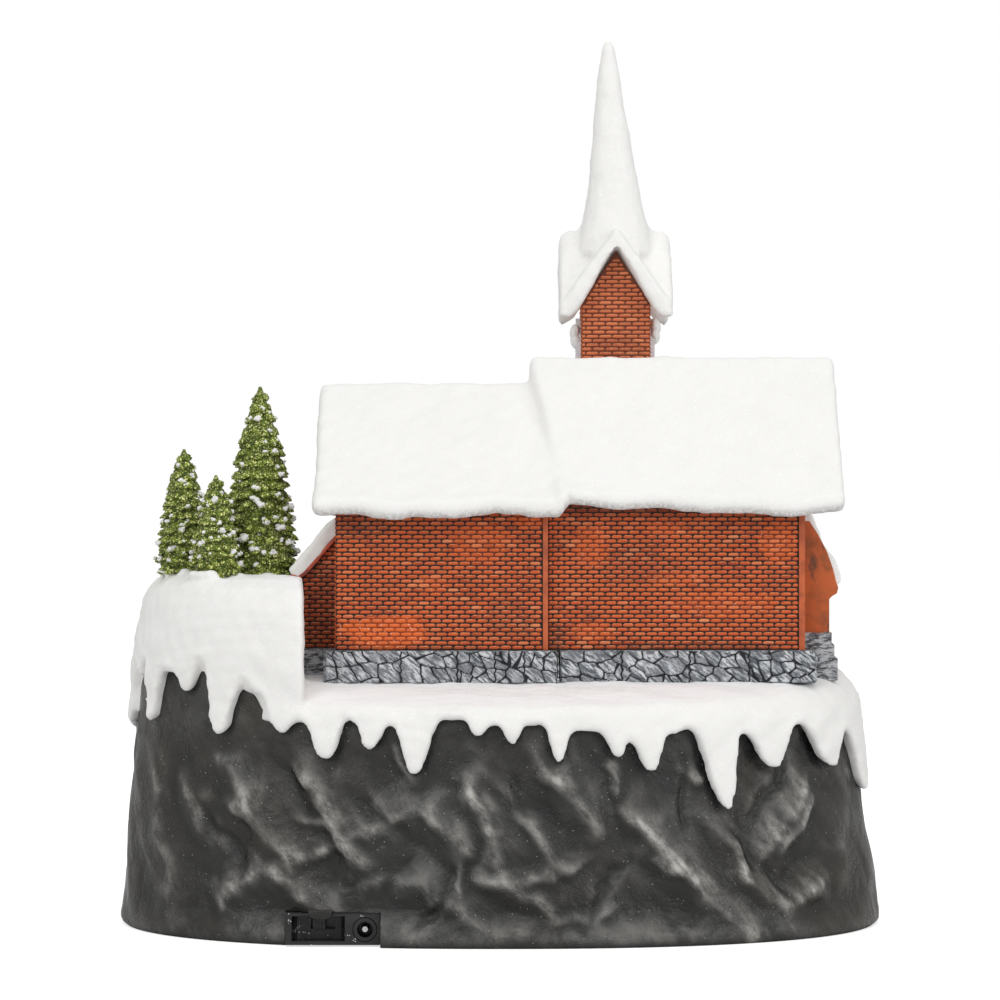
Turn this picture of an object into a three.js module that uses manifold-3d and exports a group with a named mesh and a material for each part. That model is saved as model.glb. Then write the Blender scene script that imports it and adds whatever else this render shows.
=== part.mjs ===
// A lighted, snow-covered church on a rock foot, in millimetres, +Z up.
// The rear of the church faces -Y, its entrance front faces +Y, and the origin is the centre of the foot.
import * as THREE from 'three';
import Module from 'manifold-3d';
import { mergeVertices } from 'three/addons/utils/BufferGeometryUtils.js';

const wasm = await Module();
wasm.setup();

// Clearances
const GLUE_GAP = 0.3;            // between pieces that touch or are glued
const RUNNING_GAP = 0.3;         // round the pieces that move

// Foot: a rock ring on a rounded-rectangle plan, drawn as a superellipse
const FOOT_HALF_X = 142;
const FOOT_HALF_Y = 95;
const FOOT_ROUNDNESS = 2.3;
const FOOT_COLUMNS = 88;         // points round each ring of the foot
const ROCK_WALL = 6.5;
const ROCK_TOP = 84;             // height of the rock's hidden upper edge at the ends
const ROCK_TOP_DROP = 2.8;       // how much lower that edge runs along the long sides
const ROCK_MOUND_TOP = 104;      // its height under the mound
const ROCK_DENT = 4.2;           // depth of the deepest hollows of the rock face
const ROCK_LEAN = -1.8;          // the upper part sits a little to the left
// Height and inset of the rock face from the foot's outline
const ROCK_PROFILE = [[0, 2.4], [1.3, 0.8], [4.5, 0], [18, 0.6], [36, 2.7], [48, 4.2], [66, 6.5],
  [85, 8.4], [96, 9.1], [107.6, 11], [119, 13.6]];

// Main ridges of the rear rock face, and turned round the middle those of the front: distance from the middle
// as a share of the foot's half width and height of both ends, reach of the gentle and of the steep side
const ROCK_RIDGES = [
  [-0.92, 66, -0.86, 14, 17, 10], [-0.73, 62, -0.56, 30, 17, 9], [-0.69, 13, -0.6, 26, 13, 10],
  [-0.59, 26, -0.43, 9, 13, 10], [-0.5, 62, -0.33, 30, 16, 9], [-0.36, 38, -0.2, 47, 13, 9],
  [-0.2, 47, -0.08, 32, 13, 9], [-0.22, 22, -0.06, 9, 13, 8], [-0.07, 58, 0.01, 28, 14, 8],
  [-0.03, 24, 0.13, 13, 13, 8], [0.1, 66, 0.25, 42, 15, 9], [0.38, 41, 0.59, 6, 17, 9],
  [0.55, 44, 0.7, 9, 14, 8], [0.84, 56, 0.68, 25, 15, 9], [0.83, 19, 0.71, 9, 12, 8],
  [0.95, 62, 0.9, 22, 16, 10]];

// Snow cap
const SNOW_LAP = 1.9;            // thickness of the snow where it hangs over the rock
const SNOW_THICKNESS = 3.8;      // thickness of its roof
const SNOW_BOTTOM = 44;          // below the longest drip
const GROUND_TOP = 95.5;         // height of the snow field along its middle
const GROUND_FALL = 11;          // how much it falls to the front and rear edges
const GROUND_CURVE = 1.26;
const SEAT_Z = 90.2;             // flat recess in the snow that the church stands in
// Rounded edge of the snow field: drop below the field and inset from the outline
const GROUND_EDGE = [[17.9, 0], [10.5, 1.8], [5.6, 4.4], [2, 7.8], [0, 15]];
// Rear snow edge, from left to right, each drip's tip between two arches:
// distance from the middle as a share of the foot's half width, and height
const REAR_DRIPS = [[-0.937, 95.4], [-0.928, 91.5], [-0.912, 97.2], [-0.89, 76.4], [-0.857, 93.8],
  [-0.829, 93.8], [-0.793, 87.4], [-0.751, 98.4], [-0.699, 73], [-0.636, 91.4], [-0.596, 87.3],
  [-0.535, 74.1], [-0.489, 78.5], [-0.417, 65], [-0.363, 78.8], [-0.31, 69.1], [-0.259, 77.2], [-0.2, 60.1],
  [-0.123, 79.4], [-0.083, 79.4], [-0.043, 73.8], [0, 77.6], [0.046, 71], [0.076, 77.6], [0.115, 77.6],
  [0.156, 64.7], [0.201, 75.1], [0.253, 75.1], [0.308, 65.9], [0.332, 71.5], [0.387, 60.9], [0.435, 73.7],
  [0.482, 75.7], [0.573, 46.9], [0.619, 73.5], [0.697, 61], [0.768, 75.8], [0.857, 59.9], [0.899, 72]];
// Snow edge round the ends: angle past the left or right end, towards the front, in degrees, and height
const LEFT_DRIPS = [[7, 68], [-5, 90], [-14, 82]];
const RIGHT_DRIPS = [[-11, 49.5], [2, 82], [12, 62]];
const FRONT_DRIP_LIMIT = 79;     // no arch of the front edge is higher
const DRIP_COLUMNS = 200;

// Mound at the left that carries the trees
const LEFT_ANNEX_X = -72.5;
const MOUND_GAP = 3.3;           // between the mound's steep side and the left annex, at the Y below
const MOUND_FLANK_Y = 5;
const MOUND_FLANK_SLANT = 0.062; // how far that side swings toward the chapel for each mm to the rear
const MOUND_FLANK_X = LEFT_ANNEX_X - MOUND_GAP;
const MOUND_WIDTH = FOOT_HALF_X + MOUND_FLANK_X;
const MOUND_CENTRE = [MOUND_FLANK_X - 0.426 * MOUND_WIDTH, -30];
const MOUND_TOP = 130.8;
const MOUND_FRONT_Y = FOOT_HALF_Y - 43;  // where it meets the snow field
const MOUND_FRONT_SLOPE = 1.25;
const MOUND_WALL = 4.5;
// Turns round the foot, in degrees, between which the rock rises behind the mound
const MOUND_TURNS = [174, 184, 227, 235];
// Height and inset of the mound's outer face from the foot's outline
const MOUND_PROFILE = [[60, 3.9], [77, 4.9], [85, 6.2], [96, 6.9], [107.6, 8.8], [119, 11.4], [126, 14.2],
  [129.6, 18.3], [130.8, 25]];

// Church walls: plan edges, height of the seat and of the stone course
const WALL = 2.2;
const COURSE_TOP = SEAT_Z + 11.8;
const COURSE_PROUD = 3.5;
const RIDGE_Y = -6;
const CHAPEL = {
  left: -59.3, right: 17.1, halfDepth: 41, apex: 192.8, slope: 0.85, span: 49.4, eaveLeft: -67,
};
const NAVE = {
  left: 17.4, right: 110.1, halfDepth: 38, apex: 201.8, slope: 1.1, span: 45.2, eaveLeft: 22.6,
  eaveRight: 124,
};
const NAVE_RIDGE_LEFT = 11;      // the nave roof's left edge leans out to here at the ridge
const ROOF_THICKNESS = 5.5;
const ROOF_WAVE = 1.6;           // waviness of the snow along the eaves
const ROOF_STATIONS = 14;

// Tower and steeple
const TOWER_X = 44;
const TOWER_Y = 29;
const TOWER_SIDE = 25.8;
const TOWER_WALL = 2;
const TOWER_CORE_TOP = 192;      // the shaft is hollow up to here
const GABLE_APEX = 251;
const GABLE_SLOPE = 1.54;
const STEEPLE_THICKNESS = 5.7;
const STEEPLE_SPAN = 21;         // from the middle to the face of each snow gable
const STEEPLE_FOOT_Z = GABLE_APEX - 28;
const SPIRE_LEAN = -2.5;
const SPIRE_SQUARENESS = 2.7;
// Height and half width of the spire
const SPIRE_PROFILE = [[250, 14.6], [259, 12.7], [268, 10.6], [279, 8.8], [290, 7.35], [300, 6.1],
  [310, 4.85], [319, 3.75], [326, 2.7], [330.3, 1.9], [331.6, 1.1]];
const SPIRE_TIP = 332;
const LOBE_RADIUS = 5;           // snow clumps that hang at the steeple's two front corners
const LOBE_HEIGHT = 13;
const LOUVRE_WIDTH = 13;
const LOUVRE_BOTTOM = GABLE_APEX - 55;
const LOUVRE_HEIGHT = 30;
const LOUVRE_PROUD = 1.8;

// Entrance in the foot of the tower
const DOOR_WIDTH = 13;
const DOOR_HEIGHT = 25;
const DOOR_RISE = 7.8;           // of the sill above the seat
const DOOR_SILL = SEAT_Z + DOOR_RISE;
const DOOR_THICKNESS = 1.4;
const STEP_COUNT = 3;
const STEP_TREAD = 4.6;
const STEP_WIDTH = 24;
const STEP_SEAT_Z = SEAT_Z - 1.8;
const STEP_FLOOR = 2.2;          // snow left under the steps

// Windows of the front walls
const WINDOW_WIDTH = 9;
const WINDOW_HEIGHT = 26;
const WINDOW_SILL = COURSE_TOP + 10;
const WINDOW_BORDER = 1.7;
const WINDOW_DEPTH = 1.5;
const PANE_THICKNESS = 1;
const CHAPEL_WINDOWS = [-44, -21, 2];
const NAVE_WINDOWS = [73, 94];

// Annexes: solid blocks between these Y limits, each with a small snow roof
const ANNEX_REAR_Y = -30;
const ANNEX_FRONT_Y = 18;
const ANNEX_ROOF_OVERHANG = 2.4;
const RIGHT_ANNEX_X = 120.2;

// Fir trees: distance from the mound's steep side and base radius as shares of the mound's width,
// place in depth, height of the tip and number of tiers
const TREES = [
  { name: 'tree_tall', out: 0.207, y: -22, radius: 0.19, tip: 198.3, tiers: 6 },
  { name: 'tree_small', out: 0.414, y: -40.5, radius: 0.115, tip: 165.2, tiers: 4 },
  { name: 'tree_left', out: 0.613, y: -23, radius: 0.136, tip: 175.2, tiers: 5 },
];
const TREE_COLUMNS = 15;
const TREE_LOBES = 5;

// Power unit in the notch at the rear of the foot
const UNIT_LEFT = -75.2;
const UNIT_RIGHT = -42.1;
const UNIT_SETBACK = 2.83;       // of its face from the foot's outline at its middle
const UNIT_REAR_Y = UNIT_SETBACK - footDepth((UNIT_LEFT + UNIT_RIGHT) / 2, 0);
const UNIT_DEPTH = 20;
const UNIT_BOTTOM = 0.6;
const UNIT_TOP = 11.7;
const UNIT_WALL = 1.2;
const POCKET_LEFT = -73;
const POCKET_RIGHT = -54.3;
const POCKET_DEPTH = 8;
const POCKET_BOTTOM = 1.9;
const POCKET_TOP = 10.7;
const KNOB_WIDTH = 4.2;
const KNOB_HEIGHT = 3.2;
const KNOB_PROUD = 2;
const KNOB_TRAVEL = 2.5;
const KNOB_LEFT = -65.7;
const SWITCH_Z = 7.2;
const SWITCH_LENGTH = 12;
const SWITCH_HEIGHT = 5.4;
const SWITCH_DEPTH = 6;
const JACK_X = -47.3;
const JACK_Z = 6;
const JACK_BORE = 5.6;
const JACK_NOSE = 8.2;
const JACK_LENGTH = 13;
const JACK_BORE_DEPTH = 9;
const JACK_PIN = 2;

// Base plate, screws and battery box
const PLATE_BOTTOM = 0.8;
const PLATE_THICKNESS = 2.2;
const PLATE_GAP = 0.4;
const SCREW_X = FOOT_HALF_X - 54;
const SCREW_Y = FOOT_HALF_Y - 31;
const SCREW_SHAFT = 2.4;
const SCREW_HEAD = 5;
const SCREW_LENGTH = 14;
const BOSS_DIAMETER = 8.5;
const BOSS_HEIGHT = 18;
const BOSS_RIB = 4;
const CELL_DIAMETER = 14.5;
const CELL_LENGTH = 50.5;
const CELL_COUNT = 3;
const CELL_CLEARANCE = 0.7;
const CELL_PITCH = CELL_DIAMETER + CELL_CLEARANCE;
const BAY_X = 10;                // middle of the battery bay
const BAY_CONTACT_SPACE = 8.5;   // room for springs and contacts beyond the cell's length
const BAY_DEPTH = CELL_DIAMETER + 1.7;
const BOX_WALL = 1.8;
const BOX_FLANGE = 4;
const BOX_FLANGE_THICKNESS = 1.6;
const DOOR_PIN = 1.2;
const DOOR_PIN_LENGTH = 2;
const LATCH_WIDTH = 12;
const LATCH_LENGTH = 3.5;
const SPRING_TURNS = 3;
const SPRING_RADIUS = 4;
const SPRING_LENGTH = 6;
const SPRING_WIRE = 0.7;
const CONTACT_THICKNESS = 0.5;
const CONTACT_SIZE = 10;

// Board, light strip and leads inside
const STRIP_LEFT = -30;
const STRIP_RIGHT = 92;
const STRIP_WIDTH = 8;
const STRIP_Y = -11;
const STRIP_THICKNESS = 1.6;
const LED_DIAMETER = 5;
const LED_HEIGHT = 8.6;
const LED_PLACES = [-20, 78];
const LEAD_DIAMETER = 1.6;
const LEAD_HOLE = 9;

// Materials
const FINISH = {
  rock: { color: 0x3c3a37, roughness: 0.55, metalness: 0 },
  snow: { color: 0xf0efeb, roughness: 0.75, metalness: 0 },
  brick: { color: 0xb4552f, roughness: 0.6, metalness: 0 },
  stone: { color: 0x8f8b84, roughness: 0.8, metalness: 0 },
  fir: { color: 0x5a8420, roughness: 0.65, metalness: 0 },
  trim: { color: 0xe7e5df, roughness: 0.6, metalness: 0 },
  door: { color: 0x5a3420, roughness: 0.6, metalness: 0 },
  pane: { color: 0xf2c45a, roughness: 0.3, metalness: 0 },
  black: { color: 0x17171a, roughness: 0.4, metalness: 0 },
  steel: { color: 0xb9bbbd, roughness: 0.3, metalness: 1 },
  board: { color: 0x2d5a34, roughness: 0.5, metalness: 0 },
  lamp: { color: 0xfff0c8, roughness: 0.2, metalness: 0 },
  lead: { color: 0xa8231d, roughness: 0.5, metalness: 0 },
};

const church = new THREE.Group();
church.name = 'christmas_church';

function addMesh(name, geometry, finish) {
  geometry.computeVertexNormals();
  const mesh = new THREE.Mesh(geometry, new THREE.MeshStandardMaterial(FINISH[finish]));
  mesh.name = name;
  church.add(mesh);
  return mesh;
}

// Solids from meshes and back

function toSolid(geometry) {
  const bare = geometry.clone();
  for (const name of Object.keys(bare.attributes)) {
    if (name !== 'position') bare.deleteAttribute(name);
  }
  const merged = mergeVertices(bare, 1e-4);
  return new wasm.Manifold(new wasm.Mesh({
    numProp: 3,
    vertProperties: new Float32Array(merged.attributes.position.array),
    triVerts: new Uint32Array(merged.index.array),
  }));
}

function fromSolid(solid) {
  const mesh = solid.getMesh();
  const geometry = new THREE.BufferGeometry();
  geometry.setAttribute('position', new THREE.BufferAttribute(new Float32Array(mesh.vertProperties), 3));
  geometry.setIndex(new THREE.BufferAttribute(new Uint32Array(mesh.triVerts), 1));
  return geometry;
}

function addSolid(name, solid, finish) {
  return addMesh(name, fromSolid(solid), finish);
}

function joined(solids) {
  return solids.reduce((whole, solid) => whole.add(solid));
}

// Curves and simple forms

function mix(a, b, t) {
  return a + (b - a) * t;
}

function smooth(low, high, value) {
  return THREE.MathUtils.smoothstep(value, low, high);
}

// Value of a [place, value] list at a place, on straight lines between its points
function along(list, place) {
  if (place <= list[0][0]) return list[0][1];
  for (let i = 1; i < list.length; i += 1) {
    const [x1, y1] = list[i];
    const [x0, y0] = list[i - 1];
    if (place <= x1) return mix(y0, y1, (place - x0) / (x1 - x0));
  }
  return list[list.length - 1][1];
}

function boxSolid(x0, x1, y0, y1, z0, z1) {
  const geometry = new THREE.BoxGeometry(x1 - x0, y1 - y0, z1 - z0);
  geometry.translate((x0 + x1) / 2, (y0 + y1) / 2, (z0 + z1) / 2);
  return toSolid(geometry);
}

// Turns local XYZ, with Z along the extrusion, to lie along the named world axis
const ALONG_X = new THREE.Vector3(1, 0, 0);
const ALONG_Y = new THREE.Vector3(0, 1, 0);
const ALONG_Z = new THREE.Vector3(0, 0, 1);
const PLANES = {
  x: new THREE.Matrix4().makeBasis(ALONG_Y, ALONG_Z, ALONG_X),
  y: new THREE.Matrix4().makeBasis(ALONG_X, ALONG_Z, ALONG_Y.clone().negate()),
  z: new THREE.Matrix4(),
};

// A flat outline pushed along an axis from one place to another;
// along Y it is drawn in X and Z, along X in Y and Z
function prism(outline, axis, from, to) {
  let shape = outline;
  if (!(outline instanceof THREE.Shape)) {
    shape = new THREE.Shape(outline.map(([u, v]) => new THREE.Vector2(u, v)));
  }
  const geometry = new THREE.ExtrudeGeometry(shape, {
    depth: to - from, bevelEnabled: false, curveSegments: 5,
  });
  geometry.translate(0, 0, axis === 'y' ? -to : from);
  geometry.applyMatrix4(PLANES[axis]);
  return toSolid(geometry);
}

function rod(diameter, axis, from, to, [u, v], sides = 20) {
  const shape = new THREE.Shape();
  for (let i = 0; i < sides; i += 1) {
    const angle = (i / sides) * 2 * Math.PI;
    const point = [u + (diameter / 2) * Math.cos(angle), v + (diameter / 2) * Math.sin(angle)];
    if (i === 0) shape.moveTo(...point);
    else shape.lineTo(...point);
  }
  return prism(shape, axis, from, to);
}

// A doorway or window outline with a pointed head, standing on its sill
function lancet(middle, sill, width, height) {
  const half = width / 2;
  const spring = sill + height - width * 0.85;
  const shape = new THREE.Shape();
  shape.moveTo(middle - half, sill);
  shape.lineTo(middle + half, sill);
  shape.lineTo(middle + half, spring);
  shape.quadraticCurveTo(middle + half, sill + height - half * 0.6, middle, sill + height);
  shape.quadraticCurveTo(middle - half, sill + height - half * 0.6, middle - half, spring);
  return shape;
}

// Rings of points joined into one closed skin, with a fan over each end, or end to end when cyclic
function loft(rings, cyclic = false) {
  const count = rings[0].length;
  const positions = rings.flat(2);
  const triangles = [];
  const last = cyclic ? rings.length : rings.length - 1;
  for (let r = 0; r < last; r += 1) {
    const low = r * count;
    const high = ((r + 1) % rings.length) * count;
    for (let i = 0; i < count; i += 1) {
      const next = (i + 1) % count;
      triangles.push(low + i, low + next, high + next, low + i, high + next, high + i);
    }
  }
  if (!cyclic) {
    for (const [ring, flip] of [[0, true], [rings.length - 1, false]]) {
      const middle = positions.length / 3;
      const sum = rings[ring].reduce((s, p) => [s[0] + p[0], s[1] + p[1], s[2] + p[2]], [0, 0, 0]);
      positions.push(...sum.map((value) => value / count));
      for (let i = 0; i < count; i += 1) {
        const pair = [ring * count + i, ring * count + ((i + 1) % count)];
        if (flip) pair.reverse();
        triangles.push(...pair, middle);
      }
    }
  }
  let volume = 0;
  const corner = (index) => new THREE.Vector3().fromArray(positions, index * 3);
  for (let i = 0; i < triangles.length; i += 3) {
    const [a, b, c] = [corner(triangles[i]), corner(triangles[i + 1]), corner(triangles[i + 2])];
    volume += a.dot(b.cross(c));
  }
  if (volume < 0) triangles.reverse();
  const geometry = new THREE.BufferGeometry();
  geometry.setAttribute('position', new THREE.Float32BufferAttribute(positions, 3));
  geometry.setIndex(triangles);
  return geometry;
}

// Foot outline

function footPoint(turn, halfX, halfY, z, shift = 0) {
  const c = Math.cos(turn);
  const s = Math.sin(turn);
  const power = 2 / FOOT_ROUNDNESS;
  const x = halfX * Math.sign(c) * Math.abs(c) ** power + shift;
  const y = halfY * Math.sign(s) * Math.abs(s) ** power;
  return [x, y, z];
}

function footLean(z) {
  return ROCK_LEAN * smooth(15, 48, z);
}

// Ring of the foot at a height that may change round it, inset from the foot's outline
function footRing(columns, heightAt, insetAt) {
  const ring = [];
  for (let i = 0; i < columns; i += 1) {
    const turn = (i / columns) * 2 * Math.PI;
    const z = heightAt(turn);
    const inset = insetAt(turn, z);
    ring.push(footPoint(turn, FOOT_HALF_X - inset, FOOT_HALF_Y - inset, z, footLean(z)));
  }
  return ring;
}

// Half depth of the foot's plan at a distance from its middle
function footDepth(x, inset) {
  const share = Math.abs(x) / (FOOT_HALF_X - inset);
  return (FOOT_HALF_Y - inset) * (1 - share ** FOOT_ROUNDNESS) ** (1 / FOOT_ROUNDNESS);
}

// Share of the mound at a turn: 1 behind it, 0 elsewhere
function moundShare(turn) {
  const degrees = THREE.MathUtils.radToDeg(turn);
  const [start, whole, fading, end] = MOUND_TURNS;
  return smooth(start, whole, degrees) * (1 - smooth(fading, end, degrees));
}

function rockTop(turn) {
  const plain = ROCK_TOP - ROCK_TOP_DROP * Math.sin(turn) ** 2;
  return mix(plain, ROCK_MOUND_TOP, moundShare(turn));
}

// Height of one ridge at a place of the rock face, from 0 to 1
function ridgeShare(place, z, [x0, z0, x1, z1, gentle, steep]) {
  const across = (x1 - x0) * FOOT_HALF_X;
  const length = Math.hypot(across, z1 - z0);
  const fromStart = (place - x0) * FOOT_HALF_X;
  const progress = (fromStart * across + (z - z0) * (z1 - z0)) / length ** 2;
  const aside = ((z - z0) * across - fromStart * (z1 - z0)) / length;
  const reach = aside * across > 0 ? gentle : steep;
  const ends = smooth(-0.35, 0.15, progress) * (1 - smooth(0.85, 1.35, progress));
  return Math.max(0, 1 - Math.abs(aside) / reach) * ends;
}

// Hollows between the ridges of the rock face, fading at its foot and under the snow
function rockDent(turn, z) {
  const fade = smooth(4.5, 13, z) * (1 - 0.8 * smooth(60, 80, z));
  const towardRight = -Math.sign(Math.sin(turn)) * Math.sign(Math.cos(turn));
  const place = towardRight * Math.abs(Math.cos(turn)) ** (2 / FOOT_ROUNDNESS);
  const ridge = Math.max(...ROCK_RIDGES.map((line) => ridgeShare(place, z, line)));
  const uneven = 0.82 + 0.18 * Math.sin(9 * turn + 0.09 * z) * Math.sin(5 * turn - 0.06 * z + 1.3);
  return ROCK_DENT * fade * uneven * (1 - ridge);
}

function rockInner(z) {
  return along(ROCK_PROFILE, 0) + ROCK_WALL - 1.3 + (along(ROCK_PROFILE, z) * z) / 120;
}

const ROCK_LEVELS = [0, 1.3, 4.5, 12, 20, 28, 36, 44, 53, 66];
const ROCK_INNER_BEND = 27;      // height where the inner face stops being upright

// The rock ring, or with growths the space that the snow keeps clear of it
function rockBand(levels, outGrow, topGrow, dented, inGrow) {
  const rings = levels.map((level) => footRing(FOOT_COLUMNS, () => level, (turn, z) => (
    along(ROCK_PROFILE, z) - outGrow + (dented ? rockDent(turn, z) : 0))));
  const top = (turn) => rockTop(turn) + topGrow;
  rings.push(footRing(FOOT_COLUMNS, top, (turn, z) => along(ROCK_PROFILE, z) - outGrow));
  rings.push(footRing(FOOT_COLUMNS, top, (turn, z) => along(ROCK_PROFILE, z) + ROCK_WALL * 0.75 + inGrow));
  const innerLevels = [ROCK_INNER_BEND, levels[0]].filter((level) => level <= ROCK_INNER_BEND);
  for (const level of innerLevels) {
    rings.push(footRing(FOOT_COLUMNS, () => level, (turn, z) => rockInner(z) + inGrow));
  }
  return toSolid(loft(rings, true));
}

function unitNotch(grow) {
  return boxSolid(UNIT_LEFT - grow, UNIT_RIGHT + grow, -FOOT_HALF_Y - 5, UNIT_REAR_Y + UNIT_DEPTH + grow,
    -1, UNIT_TOP + grow);
}

function screwPlaces() {
  return [[-1, -1], [1, -1], [1, 1], [-1, 1]].map(([sx, sy]) => [sx * SCREW_X, sy * SCREW_Y]);
}

const PLATE_TOP = PLATE_BOTTOM + PLATE_THICKNESS;

function buildRock() {
  let rock = rockBand(ROCK_LEVELS, 0, 0, true, 0).subtract(unitNotch(GLUE_GAP));
  const tabLeft = mix(POCKET_LEFT, POCKET_RIGHT, 0.31);
  const tabRight = mix(POCKET_LEFT, POCKET_RIGHT, 0.775);
  const tabTop = UNIT_TOP + GLUE_GAP;
  const tabRear = UNIT_REAR_Y - GLUE_GAP;
  const tab = [[tabLeft, tabTop + 1], [tabLeft + 0.6, tabTop - 1.2], [tabLeft + 2.4, tabTop - 2.3],
    [tabRight - 2.2, tabTop - 1.9], [tabRight - 0.5, tabTop - 0.9], [tabRight, tabTop + 1]];
  rock = rock.add(prism(tab, 'y', tabRear - 1.6, tabRear));
  for (const [x, y] of screwPlaces()) {
    const boss = rod(BOSS_DIAMETER, 'z', PLATE_TOP + GLUE_GAP, PLATE_TOP + BOSS_HEIGHT, [x, y]);
    const wallY = Math.sign(y) * (footDepth(x, rockInner(BOSS_HEIGHT)) + ROCK_WALL / 3);
    const rib = boxSolid(x - BOSS_RIB / 2, x + BOSS_RIB / 2, Math.min(y, wallY), Math.max(y, wallY),
      PLATE_TOP + GLUE_GAP, PLATE_TOP + BOSS_HEIGHT);
    const pilot = rod(SCREW_SHAFT + 2 * GLUE_GAP, 'z', 0, PLATE_BOTTOM + SCREW_LENGTH + 1, [x, y], 12);
    rock = rock.add(boss).add(rib).subtract(pilot);
  }
  addSolid('rock_skirt', rock, 'rock');
}

// Snow cap

function groundHeight(y) {
  return GROUND_TOP - GROUND_FALL * (Math.abs(y) / (FOOT_HALF_Y - 3)) ** GROUND_CURVE;
}

const GROUND_OUTLINE_INSET = along(ROCK_PROFILE, 77) - SNOW_LAP - GLUE_GAP;

function groundBody() {
  const outer = (turn, z) => along(ROCK_PROFILE, z) - SNOW_LAP - GLUE_GAP;
  const rings = [SNOW_BOTTOM, 58].map((level) => footRing(FOOT_COLUMNS, () => level, outer));
  for (const [drop, inset] of GROUND_EDGE) {
    const height = (turn) => {
      const y = footPoint(turn, FOOT_HALF_X, FOOT_HALF_Y - GROUND_OUTLINE_INSET, 0)[1];
      return groundHeight(y) - drop * (1 - 0.62 * Math.sin(turn) ** 2);
    };
    rings.push(footRing(FOOT_COLUMNS, height, (turn) => (
      GROUND_OUTLINE_INSET + inset * (1 - 0.62 * Math.sin(turn) ** 2))));
  }
  for (const share of [0.75, 0.35]) {
    const halfX = (FOOT_HALF_X - GROUND_OUTLINE_INSET - 16) * share;
    const halfY = (FOOT_HALF_Y - GROUND_OUTLINE_INSET - 6) * share;
    rings.push(Array.from({ length: FOOT_COLUMNS }, (_, i) => {
      const point = footPoint((i / FOOT_COLUMNS) * 2 * Math.PI, halfX, halfY, 0, ROCK_LEAN);
      point[2] = groundHeight(point[1]);
      return point;
    }));
  }
  return toSolid(loft(rings));
}

function groundHollow() {
  const ceiling = (y) => Math.min(STEP_SEAT_Z - STEP_FLOOR, groundHeight(y) - SNOW_THICKNESS);
  const edge = (turn, z) => along(ROCK_PROFILE, z) + ROCK_WALL * 0.75 - 0.4;
  const rings = [footRing(FOOT_COLUMNS, () => 30, edge), footRing(FOOT_COLUMNS, () => 70, edge)];
  for (const share of [1, 0.6]) {
    const inset = along(ROCK_PROFILE, ROCK_TOP) + ROCK_WALL;
    rings.push(Array.from({ length: FOOT_COLUMNS }, (_, i) => {
      const point = footPoint((i / FOOT_COLUMNS) * 2 * Math.PI, (FOOT_HALF_X - inset) * share,
        (FOOT_HALF_Y - inset) * share, 0, ROCK_LEAN);
      point[2] = ceiling(point[1]);
      return point;
    }));
  }
  return toSolid(loft(rings));
}

// Smaller of several lengths, rounded where they cross
function softMin(values, radius) {
  const sum = values.reduce((total, value) => total + Math.exp(-value / radius), 0);
  return -radius * Math.log(sum);
}

function moundRing(z, inset, columns, drop = 0) {
  const [cx, cy] = MOUND_CENTRE;
  const ring = [];
  const halfX = FOOT_HALF_X - inset;
  const halfY = FOOT_HALF_Y - inset;
  for (let i = 0; i < columns; i += 1) {
    const angle = (i / columns) * 2 * Math.PI;
    const c = Math.cos(angle);
    const s = Math.sin(angle);
    let low = 0;
    let high = 200;
    for (let step = 0; step < 24; step += 1) {
      const middle = (low + high) / 2;
      const px = Math.abs(cx - ROCK_LEAN + c * middle) / halfX;
      const py = Math.abs(cy + s * middle) / halfY;
      if (px ** FOOT_ROUNDNESS + py ** FOOT_ROUNDNESS < 1) low = middle;
      else high = middle;
    }
    const rounding = inset - along(MOUND_PROFILE, 96);
    const swing = MOUND_FLANK_SLANT * (MOUND_FLANK_Y - cy);
    const flank = MOUND_FLANK_X + swing - Math.max(0, rounding) * 0.45 - drop - cx;
    const front = MOUND_FRONT_Y - Math.max(0, z - GROUND_TOP + 6) * MOUND_FRONT_SLOPE - drop - cy;
    const limits = [low];
    const towardFlank = c + MOUND_FLANK_SLANT * s;
    if (towardFlank > 0.02) limits.push(flank / towardFlank);
    if (s > 0.02) limits.push(front / s);
    const reach = Math.max(2, softMin(limits, 1.6));
    ring.push([cx + c * reach, cy + s * reach, z]);
  }
  return ring;
}

function moundBody() {
  return toSolid(loft(MOUND_PROFILE.map(([z, inset]) => moundRing(z, inset, 56))));
}

function moundHollow() {
  const levels = [60, 96, 112, MOUND_TOP - MOUND_WALL];
  const inset = (z) => along(MOUND_PROFILE, z + 2) + MOUND_WALL;
  return toSolid(loft(levels.map((z) => moundRing(z, inset(z), 32, MOUND_WALL))));
}

// Height of the snow's lower edge at each turn round the foot
function dripCurve() {
  const halfX = FOOT_HALF_X - along(ROCK_PROFILE, 72) + SNOW_LAP;
  const rear = REAR_DRIPS.map(([share, z]) => {
    const turn = Math.acos(Math.min(1, (Math.abs(share) * FOOT_HALF_X) / halfX) ** (FOOT_ROUNDNESS / 2));
    return [share < 0 ? Math.PI + turn : 2 * Math.PI - turn, z];
  });
  const front = rear.map(([turn, z]) => [turn - Math.PI, Math.min(z, FRONT_DRIP_LIMIT)]);
  const left = LEFT_DRIPS.map(([degrees, z]) => [Math.PI - THREE.MathUtils.degToRad(degrees), z]);
  const right = RIGHT_DRIPS.map(([degrees, z]) => [THREE.MathUtils.degToRad((degrees + 360) % 360), z]);
  const points = [...front, ...left, ...rear, ...right].sort((a, b) => a[0] - b[0]);
  const [first, last] = [points[0], points[points.length - 1]];
  points.push([first[0] + 2 * Math.PI, first[1]]);
  points.unshift([last[0] - 2 * Math.PI, last[1]]);
  return (turn) => {
    for (let i = 1; i < points.length; i += 1) {
      const [t1, z1] = points[i];
      const [t0, z0] = points[i - 1];
      if (turn <= t1) {
        const share = (turn - t0) / (t1 - t0);
        return mix(z0, z1, (1 - Math.cos(share * Math.PI)) / 2);
      }
    }
    return first[1];
  };
}

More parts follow.
